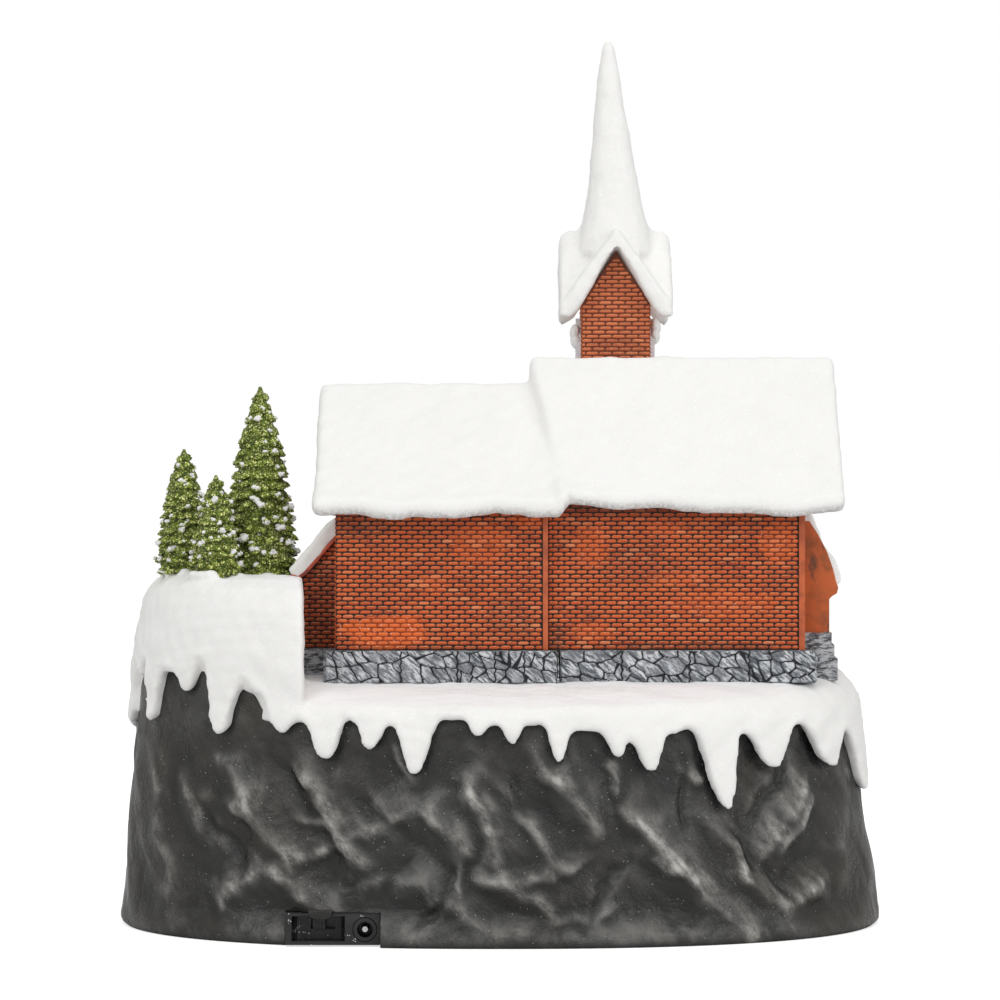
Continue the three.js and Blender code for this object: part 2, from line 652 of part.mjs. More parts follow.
// Everything outside the rock and under the snow's edge
function dripCutter() {
  const edge = dripCurve();
  const low = () => SNOW_BOTTOM - 10;
  const far = (turn, z) => along(ROCK_PROFILE, z) - 12;
  const near = (turn, z) => along(ROCK_PROFILE, z) + 3;
  return toSolid(loft([
    footRing(DRIP_COLUMNS, low, far),
    footRing(DRIP_COLUMNS, edge, far),
    footRing(DRIP_COLUMNS, edge, near),
    footRing(DRIP_COLUMNS, low, near),
  ], true));
}

// Plan rectangles of the pieces that stand in the snow
const FOOTPRINTS = {
  chapel: [CHAPEL.left - COURSE_PROUD - GLUE_GAP, CHAPEL.right + COURSE_PROUD,
    RIDGE_Y - CHAPEL.halfDepth - COURSE_PROUD, RIDGE_Y + CHAPEL.halfDepth + COURSE_PROUD],
  nave: [NAVE.left, NAVE.right + COURSE_PROUD + GLUE_GAP,
    RIDGE_Y - NAVE.halfDepth - COURSE_PROUD, RIDGE_Y + NAVE.halfDepth + COURSE_PROUD],
  annexLeft: [LEFT_ANNEX_X, CHAPEL.left, ANNEX_REAR_Y - COURSE_PROUD, ANNEX_FRONT_Y + COURSE_PROUD],
  annexRight: [NAVE.right, RIGHT_ANNEX_X + 3.2, ANNEX_REAR_Y - COURSE_PROUD, ANNEX_FRONT_Y + COURSE_PROUD],
  tower: [TOWER_X - TOWER_SIDE / 2, TOWER_X + TOWER_SIDE / 2,
    TOWER_Y - TOWER_SIDE / 2, TOWER_Y + TOWER_SIDE / 2],
};

function buildSnowCap() {
  let snow = groundBody().add(moundBody());
  snow = snow.subtract(dripCutter());
  const lapLevels = ROCK_LEVELS.filter((level) => level > ROCK_INNER_BEND);
  snow = snow.subtract(rockBand(lapLevels, GLUE_GAP, GLUE_GAP, false, GLUE_GAP));
  snow = snow.subtract(groundHollow());
  snow = snow.subtract(moundHollow());
  const clear = 2 * GLUE_GAP;
  for (const [x0, x1, y0, y1] of Object.values(FOOTPRINTS)) {
    snow = snow.subtract(boxSolid(x0 - clear, x1 + clear, y0 - clear, y1 + clear, SEAT_Z, GABLE_APEX));
  }
  const stepFront = TOWER_Y + TOWER_SIDE / 2 + STEP_COUNT * STEP_TREAD;
  snow = snow.subtract(boxSolid(TOWER_X - STEP_WIDTH / 2 - clear, TOWER_X + STEP_WIDTH / 2 + clear,
    TOWER_Y, stepFront + clear, STEP_SEAT_Z, MOUND_TOP));
  snow = snow.subtract(rod(LEAD_HOLE, 'z', SEAT_Z - 20, SEAT_Z + 5, [BAY_X, STRIP_Y], 16));
  addSolid('snow_cap', largestBody(snow), 'snow');
}

// A cut can leave crumbs; the piece is its largest body
function largestBody(solid) {
  const bodies = solid.decompose();
  bodies.sort((a, b) => b.volume() - a.volume());
  return bodies[0];
}

// Walls of the chapel and the nave

function gableOutline(section, gap) {
  const half = section.halfDepth - WALL - gap;
  const eave = section.apex - section.slope * half - gap * 1.5;
  const floor = SEAT_Z + gap;
  return [[RIDGE_Y - half, floor], [RIDGE_Y + half, floor], [RIDGE_Y + half, eave],
    [RIDGE_Y, section.apex - gap * 1.5], [RIDGE_Y - half, eave]];
}

function wallTop(section) {
  return section.apex - section.slope * section.halfDepth - GLUE_GAP;
}

function frontWall(section, left, right, windows) {
  const outer = RIDGE_Y + section.halfDepth;
  let wall = boxSolid(left, right, outer - WALL, outer, SEAT_Z + GLUE_GAP, wallTop(section));
  for (const x of windows) {
    const opening = lancet(x, WINDOW_SILL, WINDOW_WIDTH, WINDOW_HEIGHT);
    wall = wall.subtract(prism(opening, 'y', outer - WALL - 1, outer + 1));
  }
  return wall;
}

function rearWall(section) {
  const outer = RIDGE_Y - section.halfDepth;
  return boxSolid(section.left, section.right, outer, outer + WALL, SEAT_Z + GLUE_GAP, wallTop(section));
}

function buildWalls() {
  const towerLeft = TOWER_X - TOWER_SIDE / 2 - GLUE_GAP;
  const towerRight = TOWER_X + TOWER_SIDE / 2 + GLUE_GAP;
  addSolid('chapel_rear_wall', rearWall(CHAPEL), 'brick');
  addSolid('nave_rear_wall', rearWall(NAVE), 'brick');
  addSolid('chapel_front_wall', frontWall(CHAPEL, CHAPEL.left, CHAPEL.right, CHAPEL_WINDOWS), 'brick');
  addSolid('nave_front_wall_left', frontWall(NAVE, NAVE.left, towerLeft, []), 'brick');
  addSolid('nave_front_wall_right', frontWall(NAVE, towerRight, NAVE.right, NAVE_WINDOWS), 'brick');
  const chapelGable = gableOutline(CHAPEL, GLUE_GAP);
  addSolid('chapel_gable', prism(chapelGable, 'x', CHAPEL.left, CHAPEL.left + WALL), 'brick');
  const naveGable = gableOutline(NAVE, GLUE_GAP);
  addSolid('nave_gable_right', prism(naveGable, 'x', NAVE.right - WALL, NAVE.right), 'brick');
  const passage = boxSolid(NAVE.left - 1, NAVE.left + WALL + 1, STRIP_Y - STRIP_WIDTH, STRIP_Y + STRIP_WIDTH,
    SEAT_Z - 1, SEAT_Z + 14);
  const innerGable = prism(naveGable, 'x', NAVE.left, NAVE.left + WALL).subtract(passage);
  addSolid('nave_gable_left', innerGable, 'brick');
}

// Stone courses at the foot of the walls: a long strip with a return at its outer end

function buildCourse(name, section, side, left, right, outerEnd) {
  const face = RIDGE_Y + side * section.halfDepth;
  const near = face + side * GLUE_GAP;
  const far = face + side * COURSE_PROUD;
  const floor = SEAT_Z + GLUE_GAP;
  let course = boxSolid(left, right, Math.min(near, far), Math.max(near, far), floor, COURSE_TOP);
  if (outerEnd !== 0) {
    const wallX = outerEnd < 0 ? section.left - GLUE_GAP : section.right + GLUE_GAP;
    const endX = outerEnd < 0 ? left : right;
    const annexFace = side < 0 ? ANNEX_REAR_Y : ANNEX_FRONT_Y;
    const annexY = annexFace + side * (COURSE_PROUD + GLUE_GAP);
    course = course.add(boxSolid(Math.min(wallX, endX), Math.max(wallX, endX), Math.min(annexY, far),
      Math.max(annexY, far), floor, COURSE_TOP));
  }
  addSolid(name, course, 'stone');
}

function buildCourses() {
  const chapelLeft = CHAPEL.left - COURSE_PROUD - GLUE_GAP;
  const chapelRight = CHAPEL.right + COURSE_PROUD;
  const naveRight = NAVE.right + COURSE_PROUD + GLUE_GAP;
  const towerRight = TOWER_X + TOWER_SIDE / 2 + GLUE_GAP;
  buildCourse('chapel_course_rear', CHAPEL, -1, chapelLeft, chapelRight, -1);
  buildCourse('chapel_course_front', CHAPEL, 1, chapelLeft, chapelRight, -1);
  buildCourse('nave_course_rear', NAVE, -1, chapelRight + 1.2, naveRight, 1);
  buildCourse('nave_course_front', NAVE, 1, towerRight, naveRight, 1);
}

// Annexes

const LEFT_ROOF = {
  under: [[CHAPEL.left - GLUE_GAP, 143.6], [-64.5, 138.2], [-68.6, 133.2], [-71.6, 129.8], [-73.8, 128.2]],
  over: [[-76.2, 128.9], [-77, 131], [-74, 134.6], [-69, 140.3], [-64, 146.4],
    [CHAPEL.left - GLUE_GAP, 150.4]],
};
const RIGHT_ROOF = {
  under: [[NAVE.right + GLUE_GAP, 146.5], [113.6, 141.6], [116.6, 135.8], [118.9, 129.6], [120.2, 124.2],
    [122.2, 124.4]],
  over: [[124.6, 126.4], [124.9, 128.2], [123.4, 132], [118, 141.2], [113.7, 151],
    [NAVE.right + GLUE_GAP, 153.6]],
};

function buildAnnex(side) {
  const wallX = side < 0 ? CHAPEL.left - GLUE_GAP : NAVE.right + GLUE_GAP;
  const outX = side < 0 ? LEFT_ANNEX_X : RIGHT_ANNEX_X;
  const roof = side < 0 ? LEFT_ROOF : RIGHT_ROOF;
  const floor = SEAT_Z + GLUE_GAP;
  const outer = [[wallX, floor], [wallX, along(sorted(roof.under), wallX) - 2 * GLUE_GAP]];
  for (const [x, z] of roof.under.slice(1)) {
    if (Math.abs(x - wallX) < Math.abs(outX - wallX)) outer.push([x, z - 2 * GLUE_GAP]);
  }
  outer.push([outX, along(sorted(roof.under), outX) - 2 * GLUE_GAP], [outX, floor]);
  let annex = prism(outer, 'y', ANNEX_REAR_Y, ANNEX_FRONT_Y);
  const courseOut = side < 0 ? outX : outX + 3.2;
  const steps = side < 0
    ? [[wallX, floor], [wallX, COURSE_TOP], [courseOut, COURSE_TOP], [courseOut, floor]]
    : [[wallX, floor], [wallX, 108], [outX + 1, 108], [outX + 1, 104.4], [outX + 2, 103.4], [outX + 2, 99.6],
      [courseOut, 98.6], [courseOut, floor]];
  annex = annex.add(prism(steps, 'y', ANNEX_REAR_Y - COURSE_PROUD, ANNEX_FRONT_Y + COURSE_PROUD));
  addSolid(side < 0 ? 'annex_left' : 'annex_right', annex, 'brick');
  const cover = [...roof.under, ...roof.over];
  addSolid(side < 0 ? 'annex_left_roof' : 'annex_right_roof',
    prism(cover, 'y', ANNEX_REAR_Y - ANNEX_ROOF_OVERHANG, ANNEX_FRONT_Y + ANNEX_ROOF_OVERHANG), 'snow');
}

function sorted(list) {
  return [...list].sort((a, b) => a[0] - b[0]);
}

// Snow roofs: each slope is a closed skin lofted along the ridge, its eave and thickness wandering a little

function slopeSolid(section, left, right, side) {
  const k = section.slope;
  const rise = ROOF_THICKNESS * Math.hypot(1, k);
  const rings = [];
  for (let i = 0; i <= ROOF_STATIONS; i += 1) {
    const share = i / ROOF_STATIONS;
    const wave = ROOF_WAVE * (0.6 * Math.sin(9 * share + section.apex) + 0.4 * Math.sin(23 * share + 1));
    const puff = 0.5 * Math.sin(14 * share + section.apex);
    const span = section.span - side * wave;
    const tip = section.apex - k * span;
    const outline = [[GLUE_GAP / 2, section.apex], [span - 4, tip + 4 * k], [span, tip], [span + 1.9, tip - 0.4],
      [span + 3.4, tip + 2.2], [span + 3, tip + 5.2], [span - 1, tip + k + rise - 0.6],
      [span * 0.5, section.apex - k * span * 0.5 + rise + puff], [3.2, section.apex - 3.2 * k + rise],
      [GLUE_GAP / 2, section.apex + rise]].map(([d, z]) => [RIDGE_Y + side * d, z]);
    if (side > 0) outline.reverse();
    rings.push(outline.map(([y, z]) => [mix(left, right, share), y, z]));
  }
  return toSolid(loft(rings));
}

// Space taken by the walls of the nave, for the pieces that butt against it
function naveEnvelope(gap) {
  const half = NAVE.halfDepth + gap;
  const eave = NAVE.apex - NAVE.slope * half;
  const outline = [[RIDGE_Y - half, 60], [RIDGE_Y + half, 60], [RIDGE_Y + half, eave], [RIDGE_Y, NAVE.apex],
    [RIDGE_Y - half, eave]];
  return prism(outline, 'x', NAVE.left - gap, NAVE.right + gap);
}

function towerEnvelope(gap) {
  const half = TOWER_SIDE / 2 + gap;
  return boxSolid(TOWER_X - half, TOWER_X + half, TOWER_Y - half, TOWER_Y + half, 60, GABLE_APEX);
}

// Everything right of the nave roof's slanted left edge, which the chapel roof butts against
function naveSide(gap) {
  const far = NAVE.span + 12;
  const ridge = NAVE_RIDGE_LEFT - gap;
  const eave = NAVE.eaveLeft - gap;
  const plan = [[ridge, 0], [eave, -NAVE.span], [eave, -far], [FOOT_HALF_X, -far], [FOOT_HALF_X, far],
    [eave, far], [eave, NAVE.span]].map(([x, y]) => [x, RIDGE_Y + y]);
  return prism(plan, 'z', ROCK_TOP, GABLE_APEX);
}

// Each roof is two casts that meet at the ridge, one for the rear slope and one for the front slope
function buildRoofs() {
  for (const [end, side] of [['rear', -1], ['front', 1]]) {
    const nave = slopeSolid(NAVE, NAVE_RIDGE_LEFT - 2, NAVE.eaveRight, side);
    addSolid(`nave_roof_${end}`, nave.intersect(naveSide(0)).subtract(towerEnvelope(GLUE_GAP)), 'snow');
    const chapel = slopeSolid(CHAPEL, CHAPEL.eaveLeft, NAVE.eaveLeft + 2, side);
    addSolid(`chapel_roof_${end}`, chapel.subtract(naveSide(GLUE_GAP)).subtract(naveEnvelope(GLUE_GAP)), 'snow');
  }
}

// Tower with a gable on each face

function gablePrism(axis, centre, half, apex, from, to) {
  const eave = apex - GABLE_SLOPE * half;
  const outline = [[centre - half, 60], [centre + half, 60], [centre + half, eave], [centre, apex],
    [centre - half, eave]];
  return prism(outline, axis, from, to);
}

function crossGables(half, reach, apex) {
  return gablePrism('y', TOWER_X, half, apex, TOWER_Y - reach, TOWER_Y + reach)
    .add(gablePrism('x', TOWER_Y, half, apex, TOWER_X - reach, TOWER_X + reach));
}

function buildTower() {
  const half = TOWER_SIDE / 2;
  const frontY = TOWER_Y + half;
  const floor = SEAT_Z + GLUE_GAP;
  let tower = crossGables(half, half, GABLE_APEX).subtract(boxSolid(-200, 200, -200, 200, 50, floor));
  const core = half - TOWER_WALL;
  tower = tower.subtract(boxSolid(TOWER_X - core, TOWER_X + core, TOWER_Y - core, TOWER_Y + core,
    60, TOWER_CORE_TOP));
  const doorway = lancet(TOWER_X, DOOR_SILL, DOOR_WIDTH, DOOR_HEIGHT);
  tower = tower.subtract(prism(doorway, 'y', frontY - TOWER_WALL - 1, frontY + 1));
  addSolid('tower_shaft', tower, 'brick');

  const leaf = lancet(TOWER_X, DOOR_SILL + RUNNING_GAP, DOOR_WIDTH - 2 * RUNNING_GAP,
    DOOR_HEIGHT - 2 * RUNNING_GAP);
  const leafBack = frontY - TOWER_WALL;
  addSolid('entrance_door', prism(leaf, 'y', leafBack, leafBack + DOOR_THICKNESS), 'door');

  const rise = (DOOR_SILL - STEP_SEAT_Z - GLUE_GAP) / STEP_COUNT;
  const stepStart = frontY + GLUE_GAP;
  const profile = [[stepStart, STEP_SEAT_Z + GLUE_GAP]];
  for (let i = 0; i < STEP_COUNT; i += 1) {
    const y = stepStart + (STEP_COUNT - i) * STEP_TREAD;
    profile.push([y, STEP_SEAT_Z + GLUE_GAP + i * rise], [y, STEP_SEAT_Z + GLUE_GAP + (i + 1) * rise]);
  }
  profile.push([stepStart, DOOR_SILL]);
  const halfWidth = STEP_WIDTH / 2;
  addSolid('entrance_steps', prism(profile, 'x', TOWER_X - halfWidth, TOWER_X + halfWidth), 'stone');
}

// Pale frames with slats over the belfry openings

function louvre(axis, centre, from, to) {
  const frame = lancet(centre, LOUVRE_BOTTOM, LOUVRE_WIDTH, LOUVRE_HEIGHT);
  const opening = lancet(centre, LOUVRE_BOTTOM + 1.8, LOUVRE_WIDTH - 3.6, LOUVRE_HEIGHT - 4);
  let piece = prism(frame, axis, from, to).subtract(prism(opening, axis, from - 1, to + 1));
  const depth = Math.abs(to - from);
  for (let z = LOUVRE_BOTTOM + 4; z < LOUVRE_BOTTOM + LOUVRE_HEIGHT - 7; z += 4) {
    const slat = [centre - LOUVRE_WIDTH / 2 + 1, centre + LOUVRE_WIDTH / 2 - 1];
    const inset = depth * 0.25;
    const bar = axis === 'x'
      ? boxSolid(from + inset, to - inset, slat[0], slat[1], z, z + 1.5)
      : boxSolid(slat[0], slat[1], from + inset, to - inset, z, z + 1.5);
    piece = piece.add(bar);
  }
  return piece;
}

function buildLouvres() {
  const half = TOWER_SIDE / 2;
  const leftFace = TOWER_X - half - GLUE_GAP;
  const rightFace = TOWER_X + half + GLUE_GAP;
  const frontFace = TOWER_Y + half + GLUE_GAP;
  addSolid('louvre_left', louvre('x', TOWER_Y, leftFace - LOUVRE_PROUD, leftFace), 'trim');
  addSolid('louvre_right', louvre('x', TOWER_Y, rightFace, rightFace + LOUVRE_PROUD), 'trim');
  addSolid('louvre_front', louvre('y', TOWER_X, frontFace, frontFace + LOUVRE_PROUD), 'trim');
}

// Steeple: crossing snow gables, a leaning spire with rounded corners, and two hanging clumps in front

function spire() {
  const columns = 16;
  const bottom = SPIRE_PROFILE[0][0];
  const rings = SPIRE_PROFILE.map(([z, half]) => {
    const lean = SPIRE_LEAN * smooth(bottom, SPIRE_TIP, z);
    return Array.from({ length: columns }, (_, i) => {
      const angle = ((i + 0.5) / columns) * 2 * Math.PI;
      const c = Math.cos(angle);
      const s = Math.sin(angle);
      const power = SPIRE_SQUARENESS;
      const reach = half / (Math.abs(c) ** power + Math.abs(s) ** power) ** (1 / power);
      return [TOWER_X + lean + c * reach, TOWER_Y + s * reach, z];
    });
  });
  const tip = rings[rings.length - 1].map(([x, y]) => [
    mix(TOWER_X + SPIRE_LEAN, x, 0.35), mix(TOWER_Y, y, 0.35), SPIRE_TIP]);
  rings.push(tip);
  return toSolid(loft(rings));
}

function cornerClump(side) {
  const ball = new THREE.SphereGeometry(LOBE_RADIUS, 14, 10);
  ball.scale(1, 1, LOBE_HEIGHT / (2 * LOBE_RADIUS));
  const out = STEEPLE_SPAN - LOBE_RADIUS + 0.6;
  ball.translate(TOWER_X + side * out, TOWER_Y + out, STEEPLE_FOOT_Z - 2);
  return toSolid(ball);
}

function buildSteeple() {
  const rise = STEEPLE_THICKNESS * Math.hypot(1, GABLE_SLOPE);
  const outer = crossGables(STEEPLE_SPAN, STEEPLE_SPAN, GABLE_APEX + rise);
  const inner = crossGables(STEEPLE_SPAN + 5, STEEPLE_SPAN + 5, GABLE_APEX + GLUE_GAP * 2);
  const feet = boxSolid(-200, 200, -200, 200, 50, STEEPLE_FOOT_Z);
  const half = TOWER_SIDE / 2 + GLUE_GAP;
  const shaft = boxSolid(TOWER_X - half, TOWER_X + half, TOWER_Y - half, TOWER_Y + half,
    60, STEEPLE_FOOT_Z + 8);
  let steeple = outer.subtract(feet).add(spire());
  steeple = steeple.add(cornerClump(-1)).add(cornerClump(1));
  steeple = steeple.subtract(inner).subtract(shaft);
  addSolid('steeple', largestBody(steeple), 'snow');
}

// Window frames on the front walls, and one translucent sheet behind each row

function windowFrame(x, face) {
  const border = WINDOW_BORDER;
  const outer = lancet(x, WINDOW_SILL - border, WINDOW_WIDTH + 2 * border, WINDOW_HEIGHT + 2 * border);
  const inner = lancet(x, WINDOW_SILL, WINDOW_WIDTH, WINDOW_HEIGHT);
  const from = face + GLUE_GAP;
  const to = from + WINDOW_DEPTH;
  let frame = prism(outer, 'y', from, to).subtract(prism(inner, 'y', from - 1, to + 1));
  const barFront = to - 0.4;
  frame = frame.add(boxSolid(x - 0.5, x + 0.5, from, barFront, WINDOW_SILL - 0.5,
    WINDOW_SILL + WINDOW_HEIGHT));
  for (const share of [0.3, 0.58]) {
    const z = WINDOW_SILL + WINDOW_HEIGHT * share;
    const reach = WINDOW_WIDTH / 2 + 0.3;
    frame = frame.add(boxSolid(x - reach, x + reach, from, barFront, z, z + 0.9));
  }
  return frame;
}

function buildWindows() {
  const rows = [['chapel', CHAPEL, CHAPEL_WINDOWS], ['nave', NAVE, NAVE_WINDOWS]];
  for (const [label, section, places] of rows) {
    const face = RIDGE_Y + section.halfDepth;
    places.forEach((x, i) => addSolid(`${label}_window_${i + 1}`, windowFrame(x, face), 'trim'));
    const margin = WINDOW_WIDTH / 2 + 3;
    const back = face - WALL - GLUE_GAP;
    const pane = boxSolid(places[0] - margin, places[places.length - 1] + margin, back - PANE_THICKNESS, back,
      WINDOW_SILL - 3, WINDOW_SILL + WINDOW_HEIGHT + 3);
    addSolid(`${label}_pane`, pane, 'pane');
  }
}

// Fir trees: tiers of drooping, scalloped boughs

function buildTree({ name, out, y, radius: radiusShare, tip, tiers }) {
  const x = MOUND_FLANK_X - out * MOUND_WIDTH;
  const radius = radiusShare * MOUND_WIDTH;
  const foot = MOUND_TOP + GLUE_GAP;
  const height = tip - foot;
  const rings = [];
  const ring = (reach, z, scallop, turn) => Array.from({ length: TREE_COLUMNS }, (_, i) => {
    const angle = (i / TREE_COLUMNS) * 2 * Math.PI;
    const lobe = 1 + scallop * Math.cos(TREE_LOBES * angle + turn);
    return [x + Math.cos(angle) * reach * lobe, y + Math.sin(angle) * reach * lobe,
      z - reach * scallop * 0.9 * Math.cos(TREE_LOBES * angle + turn)];
  });
  rings.push(ring(radius * 0.5, foot, 0, 0));
  for (let i = 0; i < tiers; i += 1) {
    const low = foot + height * (0.04 + 0.88 * (i / tiers));
    const high = foot + height * (0.04 + 0.88 * ((i + 1) / tiers));
    const reach = radius * (1 - 0.86 * (i / tiers));
    const turn = i * 2.1;
    rings.push(ring(reach * 0.94, low, 0.1, turn));
    rings.push(ring(reach, low + (high - low) * 0.2, 0.1, turn));
    rings.push(ring(reach * 0.62, high - (high - low) * 0.06, 0.03, turn));
  }
  rings.push(ring(0.5, tip - 1.5, 0, 0));
  rings.push(ring(0.15, tip, 0, 0));
  addMesh(name, loft(rings), 'fir');
}

// Power unit: black housing with a finger pocket for the slide switch and a barrel jack

const POCKET_BACK = UNIT_REAR_Y + POCKET_DEPTH;
const SWITCH_FRONT = POCKET_BACK + UNIT_WALL + GLUE_GAP;
const KNOB_ROOM = 1;             // free play beyond the knob at each end of its travel
const RECESS_DEPTH = 2.4;        // how deep the knob reaches into the switch body

function knobSlot(grow) {
  const z0 = SWITCH_Z - KNOB_HEIGHT / 2 - grow;
  const z1 = SWITCH_Z + KNOB_HEIGHT / 2 + grow;
  return [KNOB_LEFT - KNOB_ROOM, KNOB_LEFT + KNOB_WIDTH + KNOB_TRAVEL + KNOB_ROOM, z0, z1];
}

function buildPowerUnit() {
  const back = UNIT_REAR_Y + UNIT_DEPTH;
  let housing = boxSolid(UNIT_LEFT, UNIT_RIGHT, UNIT_REAR_Y, back, UNIT_BOTTOM, UNIT_TOP);
  const pocket = new THREE.Shape();
  const bend = POCKET_DEPTH * 0.55;
  pocket.moveTo(POCKET_LEFT, UNIT_REAR_Y - 1);
  pocket.lineTo(POCKET_RIGHT, UNIT_REAR_Y - 1);
  pocket.lineTo(POCKET_RIGHT, POCKET_BACK - bend);
  pocket.quadraticCurveTo(POCKET_RIGHT, POCKET_BACK, POCKET_RIGHT - bend, POCKET_BACK);
  pocket.lineTo(POCKET_LEFT + bend, POCKET_BACK);
  pocket.quadraticCurveTo(POCKET_LEFT, POCKET_BACK, POCKET_LEFT, POCKET_BACK - bend);
  housing = housing.subtract(prism(pocket, 'z', POCKET_BOTTOM, POCKET_TOP));
  const [slotLeft, slotRight, slotLow, slotHigh] = knobSlot(RUNNING_GAP);
  housing = housing.subtract(boxSolid(slotLeft, slotRight, POCKET_BACK - 1, SWITCH_FRONT + 1,
    slotLow, slotHigh));
  const switchLeft = (slotLeft + slotRight) / 2 - SWITCH_LENGTH / 2;
  const switchLow = SWITCH_Z - SWITCH_HEIGHT / 2;
  const chamberLeft = switchLeft - GLUE_GAP;
  const chamberRight = switchLeft + SWITCH_LENGTH + GLUE_GAP;
  housing = housing.subtract(boxSolid(chamberLeft, chamberRight, POCKET_BACK + UNIT_WALL, back + 1,
    switchLow - GLUE_GAP, switchLow + SWITCH_HEIGHT + GLUE_GAP));
  const blockHalf = JACK_NOSE / 2 + 0.4;
  housing = housing.subtract(rod(JACK_NOSE + 2 * GLUE_GAP, 'y', UNIT_REAR_Y - 1, back, [JACK_X, JACK_Z], 24));
  housing = housing.subtract(boxSolid(JACK_X - blockHalf - GLUE_GAP, JACK_X + blockHalf + GLUE_GAP,
    UNIT_REAR_Y + 3, back + 1, JACK_Z - blockHalf - GLUE_GAP, JACK_Z + blockHalf + GLUE_GAP));
  addSolid('power_housing', housing, 'black');

  const [recessLeft, recessRight, recessLow, recessHigh] = knobSlot(RUNNING_GAP);
  let body = boxSolid(switchLeft, switchLeft + SWITCH_LENGTH, SWITCH_FRONT, SWITCH_FRONT + SWITCH_DEPTH,
    switchLow, switchLow + SWITCH_HEIGHT);
  body = body.subtract(boxSolid(recessLeft, recessRight, SWITCH_FRONT - 1, SWITCH_FRONT + RECESS_DEPTH,
    recessLow, recessHigh));
  addSolid('switch_body', body, 'steel');

  const knobFront = POCKET_BACK - KNOB_PROUD;
  const knobBack = SWITCH_FRONT + RECESS_DEPTH - RUNNING_GAP;
  const [, , knobLow, knobHigh] = knobSlot(0);
  let knob = boxSolid(KNOB_LEFT, KNOB_LEFT + KNOB_WIDTH, knobFront, knobBack, knobLow, knobHigh);
  for (const share of [0.25, 0.5, 0.75]) {
    const x = KNOB_LEFT + KNOB_WIDTH * share;
    knob = knob.subtract(boxSolid(x - 0.25, x + 0.25, knobFront - 1, knobFront + 0.4,
      knobLow - 1, knobHigh + 1));
  }
  addSolid('switch_knob', knob, 'black');

  let jack = rod(JACK_NOSE, 'y', UNIT_REAR_Y, UNIT_REAR_Y + 4, [JACK_X, JACK_Z], 24);
  jack = jack.add(boxSolid(JACK_X - blockHalf, JACK_X + blockHalf, UNIT_REAR_Y + 3 + GLUE_GAP,
    UNIT_REAR_Y + JACK_LENGTH, JACK_Z - blockHalf, JACK_Z + blockHalf));
  const jackMiddle = [JACK_X, JACK_Z];
  const jackEnd = UNIT_REAR_Y + JACK_LENGTH;
  jack = jack.subtract(rod(JACK_BORE, 'y', UNIT_REAR_Y - 1, UNIT_REAR_Y + JACK_BORE_DEPTH, jackMiddle, 24));
  jack = jack.subtract(rod(JACK_PIN + 2 * GLUE_GAP, 'y', UNIT_REAR_Y, jackEnd + 1, jackMiddle, 12));
  addSolid('dc_jack', jack, 'black');
  addSolid('jack_pin', rod(JACK_PIN, 'y', UNIT_REAR_Y + 1.2, jackEnd + 1.5, jackMiddle, 12), 'steel');
}

// Base plate, battery box and door

const BAY_HALF_X = (CELL_LENGTH + BAY_CONTACT_SPACE) / 2;
const BAY_HALF_Y = (CELL_PITCH * CELL_COUNT) / 2;
const BOX_BOTTOM = PLATE_TOP + GLUE_GAP;
const BOX_TOP = BOX_BOTTOM + BAY_DEPTH + BOX_WALL;
const HINGE_RADIUS = PLATE_THICKNESS / 2 - 0.1;
const HINGE_X = BAY_X + BAY_HALF_X + BOX_WALL - HINGE_RADIUS;
const HINGE_Z = PLATE_BOTTOM + HINGE_RADIUS;

function baseOutline(gap) {
  const inset = rockInner(0) + gap;
  const ring = footRing(FOOT_COLUMNS * 0.75, () => 0, () => inset);
  return new THREE.Shape(ring.map(([x, y]) => new THREE.Vector2(x, y)));
}

